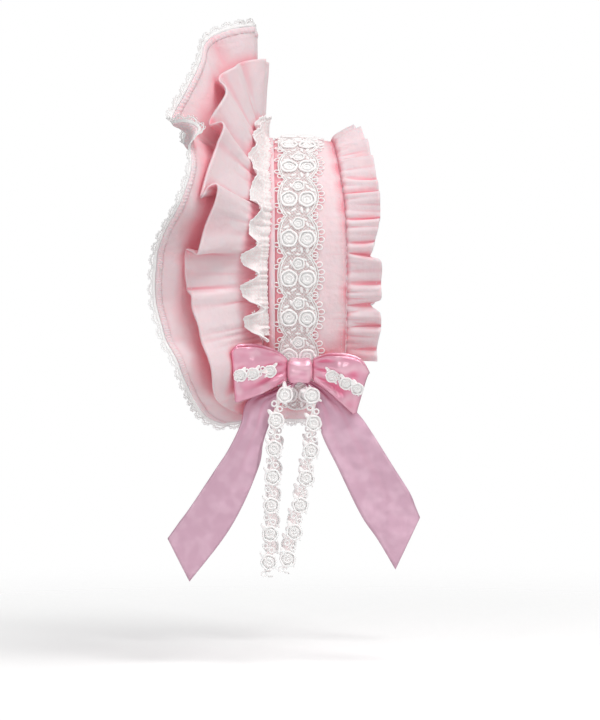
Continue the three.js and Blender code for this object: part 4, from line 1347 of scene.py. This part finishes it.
def make_edge_lace():
    """Picot lace sewn round the brim's hem and the band's lower ends."""
    settings = bpy.context.scene.headband
    lace = finish_of("lace")
    line, away, face, lengths = hem_line()

    def surface(along, across, height):
        read = [np.stack([np.interp(along, lengths, part[:, k]) for k in range(3)], -1)
                for part in (line, away, face)]
        return read[0] + along_axis(unit(read[1]), across) + along_axis(unit(read[2]), height)

    def foot_place(u, v):
        return surface(u.ravel(), (0.45 + 2.3 * v).ravel(), np.zeros(u.size)).reshape(u.shape + (3,))

    count = round(lengths[-1] / PICOT["pitch"])
    pitch = lengths[-1] / count
    half, inner_half = PICOT["half"] * pitch, PICOT["innerHalf"] * pitch
    run = spaced(0, lengths[-1], count * 6)
    cords = [np.stack([run, np.full(run.shape, 0.8)], -1)]
    fine = []
    turn = np.linspace(0, np.pi, 13)
    for k in range(count):
        middle = (k + 0.5) * pitch
        cords.append(np.stack([middle - half * np.cos(turn), 1 + PICOT["arc"] * np.sin(turn)], -1))
        inner = np.stack([middle - inner_half * np.cos(turn), 1 + PICOT["inner"] * np.sin(turn)], -1)
        fine.append(inner[::2])
        for share in PICOT_RINGS["shares"]:
            angle = np.pi * share
            along = middle - half * math.cos(angle)
            across = 1.2 + PICOT_RINGS["reach"] * math.sin(angle)
            fine.append(ring_path(along, across, PICOT_RINGS["radius"], 6))
            fine.append(np.array([
                [middle - inner_half * math.cos(angle), 1 + PICOT["inner"] * math.sin(angle)],
                [along, 1 + PICOT["arc"] * math.sin(angle)],
            ]))
    edging = threads("edge_lace_cords", laid(cords, surface), settings.cord_thread * 1.1, lace, 4)
    loops = threads("edge_lace_picots", laid(fine, surface), settings.cord_thread * 0.8, lace, 3)
    foot = wall("edge_lace_foot", foot_place, run, spaced(0, 1, 2), 0.5, lace, (1, 3), False)
    lace_edge_piece = join("edge_lace", [edging, loops, foot])
    wear(lace_edge_piece, ["brim_edge_lace"])


def make_frill_lace():
    """The lace frill: net with small motifs, gathered, with a corded scalloped hem."""
    settings = bpy.context.scene.headband
    lace = finish_of("lace")
    pitch = FRILL_SCALLOP
    count = int(2 * FRILL_REACH / pitch)

    def depth(along):
        return 1 - 0.05 * (1 - np.abs(np.sin(np.pi * along / pitch)))

    def surface(along, across, height):
        return frill_point(along, across / FRILL_WIDTH, height)

    def inside(along, across):
        return across < FRILL_WIDTH * depth(along) - 1

    def place(u, v):
        return frill_point(u, v * (depth(u) - 0.05), 0)

    us, vs = spaced(-FRILL_REACH, FRILL_REACH, 620), spaced(1, -0.28, 20)
    ground = wall("frill_lace_ground", place, us, vs, 0.4, finish_of("frill_ground"), (1.4, 18))
    net = net_paths(-FRILL_REACH, FRILL_REACH, -5, FRILL_WIDTH, settings.net_pitch / MM, inside)
    mesh = threads("frill_lace_net", laid(net, surface, 0.25), settings.net_thread, lace, 3)
    run = spaced(-FRILL_REACH, FRILL_REACH, count * 8)
    cords = [np.stack([run, np.full(run.shape, 0.5)], -1)]
    for inset in (0, 1, 3.4):
        cords.append(np.stack([run, FRILL_WIDTH * depth(run) - inset], -1))
    for k in range(count):
        middle = -FRILL_REACH + (k + 0.5) * pitch
        for share in (-0.33, 0, 0.33):
            along = middle + share * pitch
            across = FRILL_WIDTH * float(depth(np.array(along)))
            cords.append(ring_path(along, across, 0.8, 6))
    thread = settings.cord_thread * 1.25
    edging = threads("frill_lace_cords", laid(cords, surface, 0.1), thread, lace, 4)
    rows = []
    for k in range(count):
        middle = -FRILL_REACH + (k + 0.5) * pitch
        rows.append((middle, 11.5, 0, 2.6))
        rows.append((middle + pitch / 2, 5.5, 30, 1.9))
    flowers = motifs("frill_lace_motifs", daisy_tree, laid_motifs(rows, surface, 0.1), lace)
    wear(ground, ["lace_frill"])
    for piece in (mesh, edging, flowers):
        wear(piece)


def make_knot(name, side):
    """A bow's knot: a wrapped pillow of ribbon with soft folds across it."""
    def place(u, v):
        lat = np.pi * (v - 0.5)
        lon = 2 * np.pi * u
        soft = [np.sign(x) * np.abs(x) ** 0.6 for x in
                (np.cos(lat) * np.cos(lon), np.cos(lat) * np.sin(lon), np.sin(lat))]
        fold = 1 + 0.1 * np.cos(8 * soft[2] + 1.2 * soft[0] + 0.8) * np.cos(lat)
        waist = 1 - 0.1 * np.cos(np.pi * np.clip(soft[0], -1, 1))
        across = soft[0] * KNOT["across"] / 2
        height = soft[2] * KNOT["up"] / 2 * waist
        stand = KNOT["stand"] + soft[1] * KNOT["deep"] / 2 * fold
        return bow_point(side, across, height, stand)

    us, vs = spaced(0, 1, 56)[:-1], spaced(0, 1, 40)
    U, V = np.meshgrid(us, vs, indexing="ij")
    points = place(U, V).reshape(-1, 3)
    n, m = U.shape
    at = np.arange(n * m).reshape(n, m)
    after = np.roll(at, -1, axis=0)
    quads = np.stack([at[:, :-1], after[:, :-1], after[:, 1:], at[:, 1:]], -1).reshape(-1, 4)
    flat = np.stack([U * 60, V * 34], -1).reshape(-1, 2)
    faces = quads if side > 0 else quads[:, ::-1]
    return add_mesh(name, points, faces.tolist(), finish_of("satin"), flat)


def selvedge(u, v):
    """A ribbon's thickness, a little more at its two woven edges."""
    edge = np.minimum(v, 1 - v)
    return SATIN_WALL + 0.35 * np.exp(-(edge / 0.05) ** 2)


def make_bows():
    """Both bows: a knot and two loops each."""
    for label, side in SIDES.items():
        knot = make_knot(f"{label}_knot_satin", side)
        tidy_sphere(knot)
        wear(knot, [f"{label}_bow_knot"])
        for where, rows in (("front", FRONT_LOOP), ("back", BACK_LOOP)):
            forward = where == "front"
            us, vs = spaced(0, 1, 76), spaced(0, 1, 22)
            loop = wall(
                f"{label}_loop_{where}_satin",
                lambda u, v: loop_point(side, rows, u, v if forward else 1 - v, 0),
                us, vs, selvedge, finish_of("satin"), (110, 38),
            )
            wear(loop, [f"{label}_bow_loop_{where}"])


def tidy_sphere(piece):
    """Welds a ball's poles and closes its seams."""
    shape = bmesh.new()
    shape.from_mesh(piece.data)
    bmesh.ops.remove_doubles(shape, verts=shape.verts, dist=1e-6)
    bmesh.ops.recalc_face_normals(shape, faces=shape.faces)
    shape.to_mesh(piece.data)
    shape.free()


def make_satin_tails():
    """The four satin tails that hang from the knots."""
    for label, side in SIDES.items():
        for where, rows in (("front", FRONT_TAIL), ("back", BACK_TAIL)):
            us, vs = spaced(0, 1, 90), spaced(0, 1, 16)
            tail = wall(
                f"{label}_tail_{where}_satin",
                lambda u, v: tail_point(side, rows, u, v, 0),
                us, vs, selvedge, finish_of("satin_tail"), (160, 38),
            )
            wear(tail, [f"{label}_ribbon_tail_{where}"])


def rose_chain(name, surface, length, sizes):
    """A narrow lace of roses, leaves and rings in a row, laid on a surface."""
    lace, rose = finish_of("lace"), sizes["rose"]
    count = max(1, round(length / sizes["pitch"]))
    step = length / count

    def braid(u, v):
        half = (0.52 - 0.34 * np.cos(2 * np.pi * u / step)) * rose
        across = (half * (2 * v - 1)).ravel()
        return surface(u.ravel(), across, np.zeros(u.size)).reshape(u.shape + (3,))

    roses, leaves, rings = [], [], []
    for k in range(count):
        middle = (k + 0.5) * step
        roses.append((middle, 0.1 * rose, 40 * k, 1.15 * rose))
        leaves += [
            (middle - 0.85 * rose, -0.7 * rose, 225, 0.85 * rose),
            (middle + 0.75 * rose, 0.9 * rose, 50, 0.5 * rose),
        ]
        for drift, ahead in ((-0.5, -0.25), (0.4, 0.3)):
            rings.append(ring_path(middle + step / 2 + ahead * rose, drift * rose, 0.36 * rose, 10))
    run = spaced(0.1 * step, length - 0.1 * step, count * 8)
    wave = 0.35 * rose * np.sin(2 * np.pi * run / step)
    cords = [np.stack([run, wave], -1), np.stack([run, -wave], -1)]
    us, vs = spaced(0.15 * step, length - 0.15 * step, count * 12), spaced(0, 1, 4)
    cloth = finish_of("frill_ground")
    ground = wall(name + "_ground", braid, us, vs, 0.5, cloth, (1, rose), False)
    thread = bpy.context.scene.headband.cord_thread * (0.5 + 0.08 * rose)
    cord = threads(name + "_cords", laid(cords, surface, 0.4), thread, lace, 4)
    eyes = threads(name + "_rings", laid(rings, surface, 0.5), 1.7 * thread, lace, 5)
    flowers = motifs(name + "_roses", rose_tree, laid_motifs(roses, surface, 0.5), lace)
    foliage = motifs(name + "_leaves", leaf_tree, laid_motifs(leaves, surface, 0.4), lace)
    return ground, join(name, [cord, eyes, flowers, foliage])


def hanging(side, rows):
    """The surface of a narrow lace that hangs along a line, and its length."""
    down = np.linspace(0, 1, 400)
    line = np.stack([column(rows, n, down) for n in ("out", "ahead", "up")], -1)
    line[:, 0] *= side
    lengths = np.r_[0, np.cumsum(np.linalg.norm(np.diff(line, axis=0), axis=1))]
    run = unit(np.gradient(line, axis=0))
    out = np.array([side, 0.0, 0.0])
    over = unit(np.cross(run, out)) * -side
    face = unit(np.cross(run, over)) * side

    def surface(along, across, height):
        read = [np.stack([np.interp(along, lengths, part[:, k]) for k in range(3)], -1)
                for part in (line, over, face)]
        return read[0] + along_axis(read[1], across) + along_axis(read[2], height)

    return surface, lengths[-1]


def make_lace_tails():
    """The four narrow rose laces that hang from the knots."""
    for label, side in SIDES.items():
        for where, rows in (("front", FRONT_LACE_TAIL), ("back", BACK_LACE_TAIL)):
            surface, length = hanging(side, rows)
            name = f"{label}_tail_{where}_lace"
            ground, trim = rose_chain(name, surface, length, TAIL_ROSES)
            wear(ground, [f"{label}_lace_tail_{where}"])
            wear(trim)


def make_loop_laces():
    """The small rose lace along the front layer of each loop."""
    for label, side in SIDES.items():
        for where, rows in (("front", FRONT_LOOP), ("back", BACK_LOOP)):
            forward = where == "front"
            reach = abs(rows["across"][-1] - rows["across"][0])

            def surface(along, across, height):
                outer = 0.2 + 0.72 * along / reach
                over = 0.5 + across / (2 * column(rows, "half", outer))
                return loop_point(side, rows, outer / 2, over, 1.1 + height)

            name = f"{label}_loop_{where}_lace"
            ground, trim = rose_chain(name, surface, reach, LOOP_ROSES)
            wear(ground, [f"{label}_loop_lace_{where}"])
            wear(trim)


def add_light(name, place, wide, tall, power, colour):
    """A soft light that points at the headband."""
    data = bpy.data.lights.new(name, "AREA")
    data.shape, data.energy, data.color = "RECTANGLE", power, colour
    data.size, data.size_y = wide, tall
    light = bpy.data.objects.new(name, data)
    light.location = place
    light.rotation_euler = (Vector(LIGHT_AIM) - Vector(place)).to_track_quat("-Z", "Y").to_euler()
    bpy.context.scene.collection.objects.link(light)


def make_stage():
    """A pale floor that fades out, soft light and the camera."""
    scene = bpy.context.scene
    scene.view_settings.view_transform = "Standard"
    world = bpy.data.worlds.new("studio")
    world.use_nodes = True
    nodes, links = world.node_tree.nodes, world.node_tree.links
    seen = nodes.new("ShaderNodeLightPath").outputs["Is Camera Ray"]
    strength = nodes.new("ShaderNodeMapRange")
    strength.inputs["To Min"].default_value = WORLD_LIGHT
    strength.inputs["To Max"].default_value = WORLD_SEEN
    links.new(seen, strength.inputs["Value"])
    links.new(strength.outputs["Result"], nodes["Background"].inputs["Strength"])
    nodes["Background"].inputs["Color"].default_value = (1, 1, 1, 1)
    scene.world = world
    floor = Shader("floor", 0.9, Specular_IOR_Level=0.1)
    solid = floor.add("ShaderNodeTexCoord")["Object"]
    far = floor.add("ShaderNodeVectorMath", {0: solid}, operation="LENGTH")["Value"]
    feeds = {0: far, 1: 0.1, 2: 1.15, 3: 1.0, 4: 0.0}
    fade = floor.add("ShaderNodeMapRange", feeds, interpolation_type="SMOOTHERSTEP")[0]
    floor.surface.inputs["Emission Color"].default_value = (1, 1, 1, 1)
    floor.surface.inputs["Emission Strength"].default_value = 0.3
    floor.tree.links.new(fade, floor.surface.inputs["Alpha"])
    floor.colour(floor.blend(floor.noise(solid, 3.0), (0.93, 0.93, 0.93), (0.96, 0.96, 0.96)))
    turn = np.linspace(0, 2 * np.pi, 65)[:-1]
    height = np.full(turn.shape, FLOOR_HEIGHT / MM)
    ring = np.stack([FLOOR_RADIUS * np.cos(turn), FLOOR_RADIUS * np.sin(turn), height], -1)
    ground = add_mesh("studio_floor", ring, [list(range(len(turn)))], floor.material)
    for name, values in LIGHTS.items():
        add_light(name, **values)
    data = bpy.data.cameras.new("camera")
    data.lens, data.sensor_width = CAMERA_LENS, SENSOR
    camera = bpy.data.objects.new("camera", data)
    camera.location = CAMERA_PLACE
    camera.rotation_euler = (math.radians(90), 0, math.radians(90))
    scene.collection.objects.link(camera)
    scene.camera = camera


class HEADBAND_OT_brim(bpy.types.Operator):
    """Sews the wide flared brim with its turned and puckered hem."""

    bl_idname = "headband.brim"
    bl_label = "Brim"

    def execute(self, context):
        make_brim()
        return {"FINISHED"}


class HEADBAND_OT_band(bpy.types.Operator):
    """Sews the wide cotton band, with the topstitch beside its back seam."""

    bl_idname = "headband.band"
    bl_label = "Band"

    def execute(self, context):
        make_band()
        return {"FINISHED"}


class HEADBAND_OT_binding(bpy.types.Operator):
    """Sews the narrow folded strip that covers the brim's seam."""

    bl_idname = "headband.binding"
    bl_label = "Binding"

    def execute(self, context):
        make_binding()
        return {"FINISHED"}


class HEADBAND_OT_back_frill(bpy.types.Operator):
    """Sews the gathered frill that stands off the band's back edge."""

    bl_idname = "headband.back_frill"
    bl_label = "Back frill"

    def execute(self, context):
        make_back_frill()
        return {"FINISHED"}


class HEADBAND_OT_ruffle(bpy.types.Operator):
    """Sews the gathered over-ruffle on the brim's back."""

    bl_idname = "headband.ruffle"
    bl_label = "Over-ruffle"

    def execute(self, context):
        make_ruffle()
        return {"FINISHED"}


class HEADBAND_OT_rose_lace(bpy.types.Operator):
    """Works the wide lace of roses and scallops along the band."""

    bl_idname = "headband.rose_lace"
    bl_label = "Rose lace"

    def execute(self, context):
        make_rose_lace()
        return {"FINISHED"}


class HEADBAND_OT_edge_lace(bpy.types.Operator):
    """Works the picot lace round the brim's hem and the band's ends."""

    bl_idname = "headband.edge_lace"
    bl_label = "Edge lace"

    def execute(self, context):
        make_edge_lace()
        return {"FINISHED"}


class HEADBAND_OT_frill_lace(bpy.types.Operator):
    """Works the gathered lace frill over the over-ruffle's root."""

    bl_idname = "headband.frill_lace"
    bl_label = "Lace frill"

    def execute(self, context):
        make_frill_lace()
        return {"FINISHED"}


class HEADBAND_OT_bows(bpy.types.Operator):
    """Ties both bows, a knot and two loops each."""

    bl_idname = "headband.bows"
    bl_label = "Bows"

    def execute(self, context):
        make_bows()
        return {"FINISHED"}


class HEADBAND_OT_satin_tails(bpy.types.Operator):
    """Hangs the four satin tails from the knots."""

    bl_idname = "headband.satin_tails"
    bl_label = "Satin tails"

    def execute(self, context):
        make_satin_tails()
        return {"FINISHED"}


class HEADBAND_OT_lace_tails(bpy.types.Operator):
    """Hangs the four narrow rose laces from the knots."""

    bl_idname = "headband.lace_tails"
    bl_label = "Lace tails"

    def execute(self, context):
        make_lace_tails()
        return {"FINISHED"}


class HEADBAND_OT_loop_laces(bpy.types.Operator):
    """Lays the small rose lace along the front layer of each loop."""

    bl_idname = "headband.loop_laces"
    bl_label = "Loop laces"

    def execute(self, context):
        make_loop_laces()
        return {"FINISHED"}


class HEADBAND_OT_painted_shade(bpy.types.Operator):
    """Paints shade into the cloth's colour where folds hide it."""

    bl_idname = "headband.depth"
    bl_label = "Depth of colour"

    def execute(self, context):
        make_painted_shade()
        return {"FINISHED"}


class HEADBAND_OT_stage(bpy.types.Operator):
    """Sets the floor, the lights and the camera."""

    bl_idname = "headband.stage"
    bl_label = "Stage"

    def execute(self, context):
        make_stage()
        return {"FINISHED"}


STEPS = [
    HEADBAND_OT_brim, HEADBAND_OT_band, HEADBAND_OT_binding, HEADBAND_OT_back_frill,
    HEADBAND_OT_ruffle, HEADBAND_OT_rose_lace, HEADBAND_OT_edge_lace, HEADBAND_OT_frill_lace,
    HEADBAND_OT_bows, HEADBAND_OT_satin_tails, HEADBAND_OT_lace_tails, HEADBAND_OT_loop_laces,
    HEADBAND_OT_painted_shade, HEADBAND_OT_stage,
]


class HEADBAND_PT_panel(bpy.types.Panel):
    """Lists the headband's sizes, colours and steps."""

    bl_label = "Brimmed headband"
    bl_idname = "HEADBAND_PT_panel"
    bl_space_type = "VIEW_3D"
    bl_region_type = "UI"
    bl_category = "Headband"

    def draw(self, context):
        for name in HeadbandSettings.__annotations__:
            self.layout.prop(context.scene.headband, name)
        for operator in STEPS:
            self.layout.operator(operator.bl_idname)


CLASSES = [HeadbandSettings, *STEPS, HEADBAND_PT_panel]


def register():
    for item in CLASSES:
        bpy.utils.register_class(item)
    bpy.types.Scene.headband = bpy.props.PointerProperty(type=HeadbandSettings)


def unregister():
    del bpy.types.Scene.headband
    for item in reversed(CLASSES):
        bpy.utils.unregister_class(item)


def main():
    register()
    for operator in STEPS:
        group, name = operator.bl_idname.split(".")
        getattr(getattr(bpy.ops, group), name)()
    bpy.context.view_layer.update()


if __name__ == "__main__":
    main()
